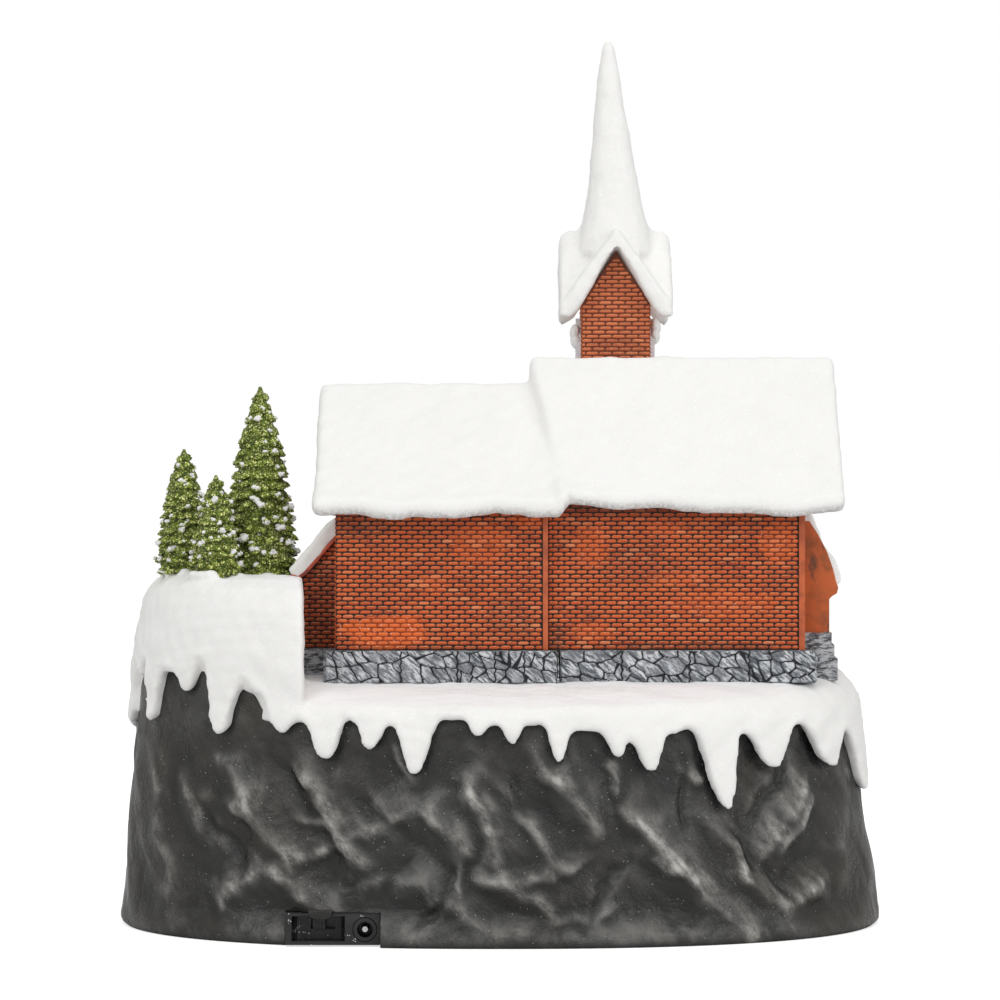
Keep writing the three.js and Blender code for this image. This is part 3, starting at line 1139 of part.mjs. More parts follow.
function buildBase() {
  const doorHalfX = BAY_HALF_X + BOX_WALL;
  const doorHalfY = BAY_HALF_Y + BOX_WALL;
  const latchEnd = BAY_X - doorHalfX;
  const gap = RUNNING_GAP;
  let plate = prism(baseOutline(PLATE_GAP), 'z', PLATE_BOTTOM, PLATE_TOP);
  plate = plate.subtract(boxSolid(BAY_X - doorHalfX - gap, BAY_X + doorHalfX + gap, -doorHalfY - gap,
    doorHalfY + gap, -1, 10));
  plate = plate.subtract(boxSolid(latchEnd - LATCH_LENGTH - gap, latchEnd, -LATCH_WIDTH / 2 - gap,
    LATCH_WIDTH / 2 + gap, -1, 10));
  plate = plate.subtract(boxSolid(UNIT_LEFT - GLUE_GAP, UNIT_RIGHT + GLUE_GAP, -FOOT_HALF_Y,
    UNIT_REAR_Y + UNIT_DEPTH + GLUE_GAP, -1, 10));
  const pinReach = doorHalfY + DOOR_PIN_LENGTH + gap;
  const pinSpace = DOOR_PIN / 2 + gap;
  plate = plate.subtract(boxSolid(HINGE_X - pinSpace, HINGE_X + pinSpace, -pinReach, pinReach,
    HINGE_Z - pinSpace, 10));
  for (const [x, y] of screwPlaces()) {
    plate = plate.subtract(rod(SCREW_SHAFT + 2 * GLUE_GAP, 'z', -1, 10, [x, y], 12));
    plate = plate.subtract(rod(SCREW_HEAD + 2 * GLUE_GAP, 'z', -1, PLATE_BOTTOM + 1.3, [x, y], 16));
  }
  addSolid('base_plate', plate, 'black');

  screwPlaces().forEach(([x, y], i) => {
    const head = rod(SCREW_HEAD, 'z', PLATE_BOTTOM, PLATE_BOTTOM + 1, [x, y], 16);
    const shaft = rod(SCREW_SHAFT, 'z', PLATE_BOTTOM + 0.5, PLATE_BOTTOM + SCREW_LENGTH, [x, y], 12);
    const cross = joined([boxSolid(x - 1.5, x + 1.5, y - 0.3, y + 0.3, 0, PLATE_BOTTOM + 0.6),
      boxSolid(x - 0.3, x + 0.3, y - 1.5, y + 1.5, 0, PLATE_BOTTOM + 0.6)]);
    addSolid(`base_screw_${i + 1}`, head.add(shaft).subtract(cross), 'steel');
  });

  let box = boxSolid(BAY_X - doorHalfX, BAY_X + doorHalfX, -doorHalfY, doorHalfY, BOX_BOTTOM, BOX_TOP);
  const flangeX = doorHalfX + BOX_FLANGE;
  const flangeY = doorHalfY + BOX_FLANGE;
  box = box.add(boxSolid(BAY_X - flangeX, BAY_X + flangeX, -flangeY, flangeY, BOX_BOTTOM,
    BOX_BOTTOM + BOX_FLANGE_THICKNESS));
  box = box.subtract(boxSolid(BAY_X - BAY_HALF_X, BAY_X + BAY_HALF_X, -BAY_HALF_Y, BAY_HALF_Y, BOX_BOTTOM - 1,
    BOX_BOTTOM + BAY_DEPTH));
  for (let i = 1; i < CELL_COUNT; i += 1) {
    const y = -BAY_HALF_Y + i * CELL_PITCH;
    const bayTop = BOX_BOTTOM + BAY_DEPTH;
    const keel = [[y - 2.2, bayTop + 0.5], [y, bayTop - 4.4], [y + 2.2, bayTop + 0.5]];
    box = box.add(prism(keel, 'x', BAY_X - CELL_LENGTH / 2 + 6, BAY_X + CELL_LENGTH / 2 - 6));
  }
  addSolid('battery_box', box, 'black');

  const nose = rod(2 * HINGE_RADIUS, 'y', -doorHalfY, doorHalfY, [HINGE_X, HINGE_Z], 16);
  const doorTop = PLATE_BOTTOM + 2 * HINGE_RADIUS;
  let door = boxSolid(latchEnd, HINGE_X, -doorHalfY, doorHalfY, PLATE_BOTTOM, doorTop).add(nose);
  const pinEnd = doorHalfY + DOOR_PIN_LENGTH;
  door = door.add(rod(DOOR_PIN, 'y', -pinEnd, pinEnd, [HINGE_X, HINGE_Z], 12));
  door = door.add(boxSolid(latchEnd - LATCH_LENGTH, latchEnd + 1, -LATCH_WIDTH / 2, LATCH_WIDTH / 2,
    PLATE_BOTTOM, doorTop));
  for (let i = 0; i < 5; i += 1) {
    const x = latchEnd + 4 + i * 2.2;
    door = door.subtract(boxSolid(x, x + 1, -LATCH_WIDTH, LATCH_WIDTH, 0, PLATE_BOTTOM + 0.5));
  }
  addSolid('battery_door', door, 'black');
}

// Contacts: springs on plates, in two single terminals and two links

function springGap(points) {
  let least = Infinity;
  for (let i = 0; i < points.length; i += 1) {
    for (let j = i + 6; j < points.length; j += 1) {
      least = Math.min(least, points[i].distanceTo(points[j]) - SPRING_WIRE);
    }
  }
  return least;
}

let springLeast = Infinity;

function springSolid(y, z, baseX, direction) {
  const steps = SPRING_TURNS * 8;
  const centres = [];
  const lead = 0.8;
  for (let i = 0; i <= steps; i += 1) {
    const share = i / steps;
    const angle = share * SPRING_TURNS * 2 * Math.PI;
    const radius = SPRING_RADIUS * (1 - 0.25 * share);
    centres.push(new THREE.Vector3(baseX + direction * (lead + share * (SPRING_LENGTH - lead)),
      y + radius * Math.cos(angle), z + radius * Math.sin(angle)));
  }
  springLeast = Math.min(springLeast, springGap(centres));
  centres.unshift(new THREE.Vector3(baseX - direction * 0.1, y + SPRING_RADIUS, z));
  const rings = centres.map((centre, i) => {
    const before = centres[Math.max(0, i - 1)];
    const after = centres[Math.min(centres.length - 1, i + 1)];
    const tangent = after.clone().sub(before).normalize();
    const radial = new THREE.Vector3(0, centre.y - y, centre.z - z).normalize();
    const side = new THREE.Vector3().crossVectors(tangent, radial).normalize();
    const out = new THREE.Vector3().crossVectors(side, tangent);
    return Array.from({ length: 5 }, (_, k) => {
      const angle = (k / 5) * 2 * Math.PI;
      return centre.clone().addScaledVector(out, (SPRING_WIRE / 2) * Math.cos(angle))
        .addScaledVector(side, (SPRING_WIRE / 2) * Math.sin(angle)).toArray();
    });
  });
  return toSolid(loft(rings));
}

function buildContacts() {
  const z = BOX_BOTTOM + BAY_DEPTH / 2;
  const cellY = (i) => -BAY_HALF_Y + (i + 0.5) * CELL_PITCH;
  const half = CONTACT_SIZE / 2;
  const plateAt = (end, first, last) => {
    const wallX = BAY_X + end * (BAY_HALF_X - GLUE_GAP);
    const innerX = wallX - end * CONTACT_THICKNESS;
    const solid = boxSolid(Math.min(wallX, innerX), Math.max(wallX, innerX), cellY(first) - half,
      cellY(last) + half, z - half, z + half);
    return { solid, innerX };
  };
  const button = (y, innerX, end) => rod(4, 'x', Math.min(innerX - end * 1, innerX + end * 0.2),
    Math.max(innerX - end * 1, innerX + end * 0.2), [y, z], 12);
  const left = plateAt(-1, 0, 0);
  addSolid('battery_terminal_spring', left.solid.add(springSolid(cellY(0), z, left.innerX, 1)), 'steel');
  const linkRight = plateAt(1, 0, 1);
  addSolid('battery_link_1', linkRight.solid.add(button(cellY(0), linkRight.innerX, 1))
    .add(springSolid(cellY(1), z, linkRight.innerX, -1)), 'steel');
  const linkLeft = plateAt(-1, 1, 2);
  addSolid('battery_link_2', linkLeft.solid.add(button(cellY(1), linkLeft.innerX, -1))
    .add(springSolid(cellY(2), z, linkLeft.innerX, 1)), 'steel');
  const right = plateAt(1, 2, 2);
  addSolid('battery_terminal_button', right.solid.add(button(cellY(2), right.innerX, 1)), 'steel');
  console.log(`least gap between spring turns: ${springLeast.toFixed(2)} mm`);
}

// Light strip, lamps and leads

function leadSolid(points, steps) {
  const curve = new THREE.CatmullRomCurve3(points.map((p) => new THREE.Vector3(...p)));
  const shape = new THREE.Shape();
  for (let i = 0; i < 6; i += 1) {
    const angle = (i / 6) * 2 * Math.PI;
    const point = [(LEAD_DIAMETER / 2) * Math.cos(angle), (LEAD_DIAMETER / 2) * Math.sin(angle)];
    if (i === 0) shape.moveTo(...point);
    else shape.lineTo(...point);
  }
  return toSolid(new THREE.ExtrudeGeometry(shape, { steps, bevelEnabled: false, extrudePath: curve }));
}

function buildLights() {
  const stripBottom = SEAT_Z + GLUE_GAP;
  const stripTop = stripBottom + STRIP_THICKNESS;
  addSolid('led_board', boxSolid(STRIP_LEFT, STRIP_RIGHT, STRIP_Y - STRIP_WIDTH / 2,
    STRIP_Y + STRIP_WIDTH / 2, stripBottom, stripTop), 'board');
  LED_PLACES.forEach((x, i) => {
    const r = LED_DIAMETER / 2;
    const profile = [new THREE.Vector2(0, 0), new THREE.Vector2(r + 0.4, 0), new THREE.Vector2(r + 0.4, 1),
      new THREE.Vector2(r, 1), new THREE.Vector2(r, LED_HEIGHT - r)];
    for (let k = 1; k <= 4; k += 1) {
      const angle = (k / 4) * (Math.PI / 2);
      const reach = k === 4 ? 0 : r * Math.cos(angle);
      profile.push(new THREE.Vector2(reach, LED_HEIGHT - r + r * Math.sin(angle)));
    }
    const lamp = new THREE.LatheGeometry(profile, 12);
    lamp.rotateX(Math.PI / 2);
    lamp.translate(x, STRIP_Y, stripTop + GLUE_GAP);
    addSolid(`led_${i + 1}`, toSolid(lamp), 'lamp');
  });
  const r = LEAD_DIAMETER / 2;
  addSolid('led_lead', leadSolid([[BAY_X, STRIP_Y, BOX_TOP + GLUE_GAP], [BAY_X, STRIP_Y, BOX_TOP + 8],
    [BAY_X + 2, STRIP_Y, (BOX_TOP + stripBottom) / 2], [BAY_X, STRIP_Y, stripBottom - 10],
    [BAY_X, STRIP_Y, stripBottom - GLUE_GAP]], 12), 'lead');
  const unitBack = UNIT_REAR_Y + UNIT_DEPTH;
  const boxLeft = BAY_X - BAY_HALF_X - BOX_WALL;
  const entryZ = BOX_TOP - 4;
  addSolid('power_lead', leadSolid([
    [JACK_X - 6, unitBack + GLUE_GAP, JACK_Z], [JACK_X - 6, unitBack + 8, JACK_Z],
    [JACK_X + 4, STRIP_Y - 26, PLATE_TOP + r + 6], [boxLeft - 12, STRIP_Y - 3, entryZ - 1],
    [boxLeft - GLUE_GAP, STRIP_Y, entryZ]], 18), 'lead');
}

buildRock();
buildSnowCap();
buildWalls();
buildCourses();
buildAnnex(-1);
buildAnnex(1);
buildRoofs();
buildTower();
buildLouvres();
buildSteeple();
buildWindows();
TREES.forEach(buildTree);
buildPowerUnit();
buildBase();
buildContacts();
buildLights();

export default church;
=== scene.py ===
"""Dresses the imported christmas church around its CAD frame: carved rock, soft snow, laid bricks, carved
stones, firs, windows and the power unit. Sizes in the code are millimetres, in properties metres."""
import math

import bmesh
import bpy
import numpy as np
from bpy.props import FloatProperty, FloatVectorProperty, IntProperty, PointerProperty
from bpy.types import Operator, Panel, PropertyGroup
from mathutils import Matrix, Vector
from mathutils.geometry import delaunay_2d_cdt


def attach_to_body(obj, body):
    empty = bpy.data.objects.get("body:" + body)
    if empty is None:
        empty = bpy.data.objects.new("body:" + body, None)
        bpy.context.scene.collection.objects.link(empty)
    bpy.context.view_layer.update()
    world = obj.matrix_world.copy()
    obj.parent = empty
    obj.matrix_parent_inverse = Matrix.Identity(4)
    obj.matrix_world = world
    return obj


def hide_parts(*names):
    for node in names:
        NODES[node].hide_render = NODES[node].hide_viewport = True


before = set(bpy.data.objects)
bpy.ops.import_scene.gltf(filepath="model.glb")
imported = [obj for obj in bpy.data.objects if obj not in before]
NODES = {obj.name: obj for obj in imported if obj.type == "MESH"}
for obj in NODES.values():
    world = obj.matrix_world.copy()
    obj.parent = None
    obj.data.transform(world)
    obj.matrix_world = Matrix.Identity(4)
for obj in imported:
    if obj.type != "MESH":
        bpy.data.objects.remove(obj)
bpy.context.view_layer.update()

bl_info = {
    "name": "Christmas church",
    "version": (1, 0, 0),
    "blender": (4, 5, 0),
    "location": "3D View > Sidebar > Church",
    "description": "Builds the looks of a snow-covered brick church around its CAD frame",
    "category": "Object",
}

MM = 0.001
CHURCH = "church"

# Plan and profile of the foot, as in the CAD
FOOT_HALF = (142.0, 95.0)
FOOT_ROUNDNESS = 2.3
ROCK_LEAN = -1.8
ROCK_PROFILE = ((0, 2.4), (1.3, 0.8), (4.5, 0), (18, 0.6), (36, 2.7), (48, 4.2), (66, 6.5), (85, 8.4),
                (96, 9.1), (107.6, 11), (119, 13.6))
MOUND_PROFILE = ((60, 3.9), (77, 4.9), (85, 6.1), (96, 6.2), (107.6, 7.9), (119, 10.6), (124, 12.8),
                 (127.4, 15.6), (129.6, 19.4), (130.7, 25), (131, 31))
MOUND_CENTRE = (-104.0, -30.0)
# The mound's right side lies in the line of sight: distance from the middle per mm of depth
MOUND_SIGHT = 0.0567
MOUND_FRONT_Y = 52.0
FOOT_CAMERA = 1300.0    # from the middle of the foot to the camera
MOUND_FALL = ((-122, 0), (-110, -0.8), (-98, -1.9), (-73, -2.5))    # X and drop of the mound's top
GROUND_TOP = 95.5
SNOW_LAP = 2.2
GROUND_EDGE = ((17.9, 0), (14, 0.5), (10.5, 1.8), (7.8, 3), (5.6, 4.4), (3.6, 6), (2, 7.8), (0.8, 11),
               (0, 15))
# Rear snow edge: share of the half width and height of each tip and arch, from left to right
REAR_DRIPS = (
    (-0.937, 95.4), (-0.928, 91.5), (-0.912, 97.2), (-0.89, 76.4), (-0.857, 93.8), (-0.829, 93.8),
    (-0.793, 87.4), (-0.751, 98.4), (-0.699, 73), (-0.636, 91.4), (-0.596, 87.3), (-0.535, 74.1),
    (-0.489, 78.5), (-0.417, 65), (-0.363, 78.8), (-0.31, 69.1), (-0.259, 77.2), (-0.2, 60.1),
    (-0.123, 79.4), (-0.083, 79.4), (-0.043, 73.8), (0, 77.6), (0.046, 71), (0.076, 77.6), (0.115, 77.6),
    (0.156, 64.7), (0.201, 75.1), (0.253, 75.1), (0.308, 65.9), (0.332, 71.5), (0.387, 60.9), (0.435, 73.7),
    (0.482, 75.7), (0.573, 46.9), (0.619, 73.5), (0.697, 61), (0.768, 75.8), (0.857, 59.9), (0.899, 72))
LEFT_DRIPS = ((7, 70), (-5, 73.5))
RIGHT_DRIPS = ((-11, 49.5), (2, 82), (12, 62))
FRONT_DRIP_LIMIT = 79

# Main ridges as in the CAD: both ends as a share of the foot's half width and height, reach of the gentle
# and of the steep side, and how much pale paint each one wears: dry brush and painted highlight on its upper
# side
MAIN_RIDGES = (
    (-0.92, 66, -0.86, 14, 17, 10, 0.25), (-0.73, 62, -0.56, 30, 17, 9, 0.8),
    (-0.69, 13, -0.6, 26, 13, 10, 0.6), (-0.59, 26, -0.43, 9, 13, 10, 0.6),
    (-0.5, 62, -0.33, 30, 16, 9, 0.45), (-0.36, 38, -0.2, 47, 13, 9, 0.5),
    (-0.2, 47, -0.08, 32, 13, 9, 0.4), (-0.22, 22, -0.06, 9, 13, 8, 0.4), (-0.07, 58, 0.01, 28, 14, 8, 1),
    (-0.03, 24, 0.13, 13, 13, 8, 0.5), (0.1, 66, 0.25, 42, 15, 9, 0.3), (0.38, 41, 0.59, 6, 17, 9, 1),
    (0.55, 44, 0.7, 9, 14, 8, 0.7), (0.84, 56, 0.68, 25, 15, 9, 0.8), (0.83, 19, 0.71, 9, 12, 8, 0.5),
    (0.95, 62, 0.9, 22, 16, 10, 0.15))
RIDGE_DEPTH = 4.2
END_FILL = 0.85    # share of that depth that is missing at both ends of the foot
ROCK_WALL = 6.5
POWER_NOTCH = ((-75.5, -105, -2), (-41.8, -66.2, 12))    # two corners of the gap for the power unit
# Wrinkles between them: both ends in X and Z, reach of both sides, and pale paint on the upper side, which is
# dry brush and painted highlight
WRINKLES = (
    (-77, 62, -69, 57, 4, 2, 0.9), (-74, 44, -60, 41, 4, 2, 0.9), (-78, 27, -57, 36, 6, 4, 0.7),
    (7, 52, 19, 24, 5, 3, 0.4), (0, 21, 38, 31, 5, 3, 0.35), (-116, 60, -108, 34, 6, 4, 0.4),
    (-13, 30, -14, 18, 3, 2, 0.6), (15, 61, 27, 56, 5, 3, 0.5), (120, 50, 104, 30, 5, 3, 0.6),
    (-38, 68, -30, 56, 5, 3, 0.4), (-66, 50, -50, 30, 4, 2, 0.5), (58, 30, 70, 24, 4, 2, 0.9),
    (84, 36, 92, 26, 4, 2, 0.8), (-100, 50, -88, 40, 4, 2, 0.7), (66, 62, 80, 56, 5, 3, 0.3),
    (40, 64, 48, 54, 5, 3, 0.25), (-50, 18, -38, 24, 4, 3, 0.35), (20, 9, 44, 12, 4, 3, 0.3))
CREASES = ((48, 32, 29, 6, 3), (69, 68, 70, 38, 2.2), (-112, 50, -90, 24, 3), (-56, 56, -34, 36, 3),
           (4, 60, 12, 44, 2.5), (86, 40, 108, 12, 3), (-14, 28, -30, 6, 3), (113, 66, 96, 38, 3))

# Walls of the church
RIDGE_Y = -6.0
CHAPEL = {"left": -59.3, "right": 17.1, "rear": -47.0, "front": 35.0, "apex": 192.8, "slope": 0.85,
          "top": 157.4}
NAVE = {"left": 17.4, "right": 110.1, "rear": -44.0, "front": 32.0, "apex": 201.8, "slope": 1.1, "top": 159.5}
COURSE_TOP = 102.0
WINDOW_SILL = 110.0
SEAT_Z = 90.2
TOWER = {"x": 44.0, "y": 29.0, "half": 12.9, "apex": 251.0, "slope": 1.54}
CHAPEL_WINDOWS = (-44.0, -21.0, 2.0)
NAVE_WINDOWS = (73.0, 94.0)
ANNEX_Y = (-30.0, 18.0)
LEFT_ANNEX_X = -72.5
LEFT_ROOF_UNDER = ((-59.6, 143.6), (-64.5, 138.2), (-68.6, 133.2), (-71.6, 129.8), (-73.8, 128.2),
                   (-76.2, 128.9))
RIGHT_ROOF_UNDER = ((110.4, 146.5), (113.6, 141.6), (116.6, 135.8), (118.9, 129.6), (120.2, 124.2),
                    (122.2, 124.4), (124.6, 126.4))
NAVE_EAVE_RISE = 3.4    # how much higher the rear eave runs at the nave's left end
CHAPEL_ROOF_LAP = 2.5    # how far the chapel's snow runs on under the nave's
# Fir trees: name, place, radius at the foot, height of foot and tip, tiers of boughs
FIRS = (("tree_tall", -88.4, -22, 13.6, 128.6, 198.2, 17),
        ("tree_small", -103.2, -40.5, 9.1, 129.2, 165.4, 11),
        ("tree_left", -116.4, -23, 10.2, 130, 175.2, 13))
# Reach of the boughs as a share of the widest, at shares of the way down from the tip
FIR_SHAPE = ((0, 0.03), (0.08, 0.22), (0.18, 0.41), (0.31, 0.62), (0.47, 0.76), (0.63, 0.92), (0.8, 1),
             (1, 1))


# Settings that a user would change

class RockSettings(PropertyGroup):
    """Sizes and colours of the carved rock foot."""
    facet_depth: FloatProperty(name="Facet depth", description="Depth of the facets between the main ridges",
                               default=0.0021, unit="LENGTH", subtype="DISTANCE")
    facet_size: FloatProperty(name="Facet size", description="Usual distance between two creases",
                              default=0.0125, unit="LENGTH", subtype="DISTANCE")
    colour: FloatVectorProperty(name="Rock paint", description="Dark ground coat of the rock", size=3,
                                default=(0.021, 0.0205, 0.019), subtype="COLOR")
    # On the rock the dry brush also stands in for the highlights on the ridges: partly painted highlight
    brush_colour: FloatVectorProperty(name="Dry brush", description="Pale paint dragged over the ridges",
                                      size=3, default=(0.46, 0.45, 0.42), subtype="COLOR")


class SnowSettings(PropertyGroup):
    """Sizes and colours of the snow."""
    grain: FloatProperty(name="Modelling grain", description="Edge length of the snow's mesh",
                         default=0.00105, unit="LENGTH", subtype="DISTANCE")
    waviness: FloatProperty(name="Waviness", description="Height of the soft waves in the snow",
                            default=0.00032, unit="LENGTH", subtype="DISTANCE")
    colour: FloatVectorProperty(name="Snow paint", description="Warm white of the snow", size=3,
                                default=(0.86, 0.855, 0.835), subtype="COLOR")


class BrickSettings(PropertyGroup):
    """Sizes and colours of the brickwork."""
    length: FloatProperty(name="Brick pitch", description="From one brick to the next along a course",
                          default=0.00423, unit="LENGTH", subtype="DISTANCE")
    course: FloatProperty(name="Course pitch", description="From one course to the next", default=0.0016,
                          unit="LENGTH", subtype="DISTANCE")
    proud: FloatProperty(name="Stand proud", description="How far the bricks stand out of the mortar",
                         default=0.00034, unit="LENGTH", subtype="DISTANCE")
    colour: FloatVectorProperty(name="Brick paint", description="Usual colour of a brick", size=3,
                                default=(0.58, 0.1, 0.027), subtype="COLOR")
    wash_colour: FloatVectorProperty(name="Bright wash", description="Orange wash over brick and mortar",
                                     size=3, default=(0.8, 0.155, 0.032), subtype="COLOR")
    mortar_colour: FloatVectorProperty(name="Mortar paint", description="Dark paint between the bricks",
                                       size=3, default=(0.026, 0.024, 0.022), subtype="COLOR")


class StoneSettings(PropertyGroup):
    """Sizes and colours of the stone courses and steps."""
    stone_size: FloatProperty(name="Stone size", description="Usual size of one carved stone", default=0.0045,
                              unit="LENGTH", subtype="DISTANCE")
    colour: FloatVectorProperty(name="Stone paint", description="Blue-grey ground coat", size=3,
                                default=(0.08, 0.09, 0.105), subtype="COLOR")
    brush_colour: FloatVectorProperty(name="Dry brush", description="Pale strokes over the stones", size=3,
                                      default=(0.68, 0.7, 0.72), subtype="COLOR")


class FirSettings(PropertyGroup):
    """Shape and colours of the fir trees."""
    bough_spacing: FloatProperty(name="Bough spacing", description="Distance between boughs round a tier",
                                 default=0.0031, unit="LENGTH", subtype="DISTANCE")
    snow_share: FloatProperty(name="Snowy boughs", description="Share of the boughs that carry snow",
                              default=0.4, min=0, max=1, subtype="FACTOR")
    colour: FloatVectorProperty(name="Green", description="Green of the needles", size=3,
                                default=(0.15, 0.21, 0.02), subtype="COLOR")
    glitter_colour: FloatVectorProperty(name="Glitter", description="Yellow-green glitter", size=3,
                                        default=(0.95, 0.98, 0.3), subtype="COLOR")


class StageSettings(PropertyGroup):
    """Lights and camera of the studio."""
    key_power: FloatProperty(name="Key light", description="Power of the large light at the left",
                             default=13.0, unit="POWER")
    fill_power: FloatProperty(name="Fill light", description="Power of the light at the right", default=9.0,
                              unit="POWER")
    top_power: FloatProperty(name="Top light", description="Power of the light above", default=6.0,
                             unit="POWER")
    ambience: FloatProperty(name="Ambience", description="Strength of the even light all round", default=0.58)
    distance: FloatProperty(name="Camera distance", description="From the middle of the church to the camera",
                            default=1.3, unit="LENGTH", subtype="DISTANCE")
    height: FloatProperty(name="Camera height", description="Height of the level camera", default=0.1564,
                          unit="LENGTH", subtype="DISTANCE")
    lens: FloatProperty(name="Lens", description="Focal length in millimetres", default=124.8)


SETTINGS = {"church_rock": RockSettings, "church_snow": SnowSettings, "church_brick": BrickSettings,
            "church_stone": StoneSettings, "church_fir": FirSettings, "church_stage": StageSettings}


# Numbers and curves

def lerp_list(pairs, place):
    """Value of a list of (place, value) pairs at one place or an array of places."""
    return np.interp(place, [p[0] for p in pairs], [p[1] for p in pairs])


def ease(low, high, value):
    """0 below low, 1 above high and a smooth step between."""
    share = np.clip((np.asarray(value, float) - low) / (high - low), 0, 1)
    return share * share * (3 - 2 * share)


def soft_noise(points, size, seed, rounds=7):
    """Smooth noise between about -1 and 1, made of crossing waves of the given size."""
    rng = np.random.default_rng(seed)
    total = np.zeros(len(points))
    for _ in range(rounds):
        direction = rng.normal(size=3)
        direction /= np.linalg.norm(direction)
        wave = 2 * math.pi / (size * rng.uniform(0.7, 1.5))
        total += np.sin(points @ direction * wave + rng.uniform(0, 2 * math.pi))
    return total / math.sqrt(rounds) * 0.8


def foot_lean(heights):
    return ROCK_LEAN * ease(15, 48, heights)


def foot_surface(turns, heights, insets):
    """Points of the foot's outline at these turns, heights and insets."""
    power = 2 / FOOT_ROUNDNESS
    c, s = np.cos(turns), np.sin(turns)
    x = (FOOT_HALF[0] - insets) * np.sign(c) * np.abs(c) ** power + foot_lean(heights)
    y = (FOOT_HALF[1] - insets) * np.sign(s) * np.abs(s) ** power
    return np.stack(np.broadcast_arrays(x, y, np.asarray(heights, float)), -1)


def even_turns(count):
    """Turns that lie at equal distances along the foot's outline, and the outline's length."""
    fine = np.linspace(0, 2 * math.pi, 7201)
    line = foot_surface(fine, np.zeros_like(fine), np.zeros_like(fine))
    length = np.concatenate([[0], np.cumsum(np.linalg.norm(np.diff(line, axis=0), axis=1))])
    return np.interp(np.linspace(0, length[-1], count, endpoint=False), length, fine), length[-1]


def turn_of(share, reach=0.955):
    """Turn on the rear side of a place given as a share of the foot's half width."""
    turn = np.arccos(min(1, abs(share) / reach) ** (FOOT_ROUNDNESS / 2))
    return math.pi + turn if share < 0 else 2 * math.pi - turn


def drip_heights(turns):
    """Height of the snow's lower edge at each turn."""
    rear = [(turn_of(share, 0.9625), z) for share, z in REAR_DRIPS]
    front = [(turn - math.pi, min(z, FRONT_DRIP_LIMIT)) for turn, z in rear]
    left = [(math.pi - math.radians(degrees), z) for degrees, z in LEFT_DRIPS]
    right = [(math.radians(degrees % 360), z) for degrees, z in RIGHT_DRIPS]
    points = sorted(rear + front + left + right)
    points = [(points[-1][0] - 2 * math.pi, points[-1][1])] + points
    points.append((points[1][0] + 2 * math.pi, points[1][1]))
    places = np.array([p[0] for p in points])
    values = np.array([p[1] for p in points])
    index = np.clip(np.searchsorted(places, turns), 1, len(places) - 1)
    share = (turns - places[index - 1]) / (places[index] - places[index - 1])
    share = (1 - np.cos(share * math.pi)) / 2
    share = 0.5 * share + 0.5 * (1 - np.cos(share * math.pi)) / 2
    return values[index - 1] + (values[index] - values[index - 1]) * share


# Meshes

def grid_faces(rows, columns, close_rows=False, close_columns=True):
    """Quads between the points of a grid that is stored row after row."""
    r = np.arange(rows if close_rows else rows - 1)
    c = np.arange(columns if close_columns else columns - 1)
    low = (r * columns)[:, None]
    high = (((r + 1) % rows) * columns)[:, None]
    near, far = c[None, :], ((c + 1) % columns)[None, :]
    return np.stack([low + near, low + far, high + far, high + near], -1).reshape(-1, 4).tolist()


def capped_faces(rows, columns):
    """Quads between closed rings, with one face over each end."""
    faces = grid_faces(rows, columns)
    faces.append(list(range(columns))[::-1])
    faces.append([(rows - 1) * columns + j for j in range(columns)])
    return faces


def on_wall(points, axis, level, outward):
    """Places points (u, out, z) on a wall that faces along Y or X."""
    u, out, z = points[:, 0], level + outward * points[:, 1], points[:, 2]
    return np.column_stack([u, out, z] if axis == "y" else [out, u, z])


def make_mesh(name, points, faces, attributes=None, tidy_normals=True):
    """A mesh from points in millimetres, with one number per point for each attribute."""
    mesh = bpy.data.meshes.new(name)
    mesh.from_pydata((np.asarray(points, float) * MM).tolist(), [], faces)
    for key, values in (attributes or {}).items():
        add_attribute(mesh, key, values)
    if tidy_normals:
        work = bmesh.new()
        work.from_mesh(mesh)
        bmesh.ops.recalc_face_normals(work, faces=work.faces)
        work.to_mesh(mesh)
        work.free()
    mesh.update()
    return mesh


def show(name, mesh, material, body=CHURCH, replaces=(), smooth=True, sharp=None):
    """Puts a mesh into the scene as one piece of the church."""
    piece = bpy.data.objects.new(name, mesh)
    bpy.context.scene.collection.objects.link(piece)
    mesh.materials.clear()
    mesh.materials.append(material)
    if smooth:
        mesh.shade_smooth()
    if sharp is not None:
        mesh.set_sharp_from_angle(angle=math.radians(sharp))
    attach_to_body(piece, body)
    if replaces:
        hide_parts(*replaces)
    return piece


def with_modifiers(mesh, *modifiers):
    """The mesh after these modifiers, each given as a type and its settings."""
    carrier = bpy.data.objects.new("carrier", mesh)
    bpy.context.scene.collection.objects.link(carrier)
    for kind, values in modifiers:
        modifier = carrier.modifiers.new(kind.lower(), kind)
        for key, value in values.items():
            setattr(modifier, key, value)
    graph = bpy.context.evaluated_depsgraph_get()
    result = bpy.data.meshes.new_from_object(carrier.evaluated_get(graph))
    bpy.data.objects.remove(carrier)
    return result


def mesh_points(mesh):
    """Points of a mesh in millimetres."""
    flat = np.zeros(len(mesh.vertices) * 3, np.float32)
    mesh.vertices.foreach_get("co", flat)
    return flat.reshape(-1, 3).astype(float) / MM


def mesh_normals(mesh):
    flat = np.zeros(len(mesh.vertices) * 3, np.float32)
    mesh.vertex_normals.foreach_get("vector", flat)
    return flat.reshape(-1, 3).astype(float)


def set_points(mesh, points):
    mesh.vertices.foreach_set("co", (points * MM).astype(np.float32).ravel())
    mesh.update()


def add_attribute(mesh, key, values):
    """One number per point, for a material to read."""
    layer = mesh.attributes.new(key, "FLOAT", "POINT")
    layer.data.foreach_set("value", np.asarray(values, np.float32))


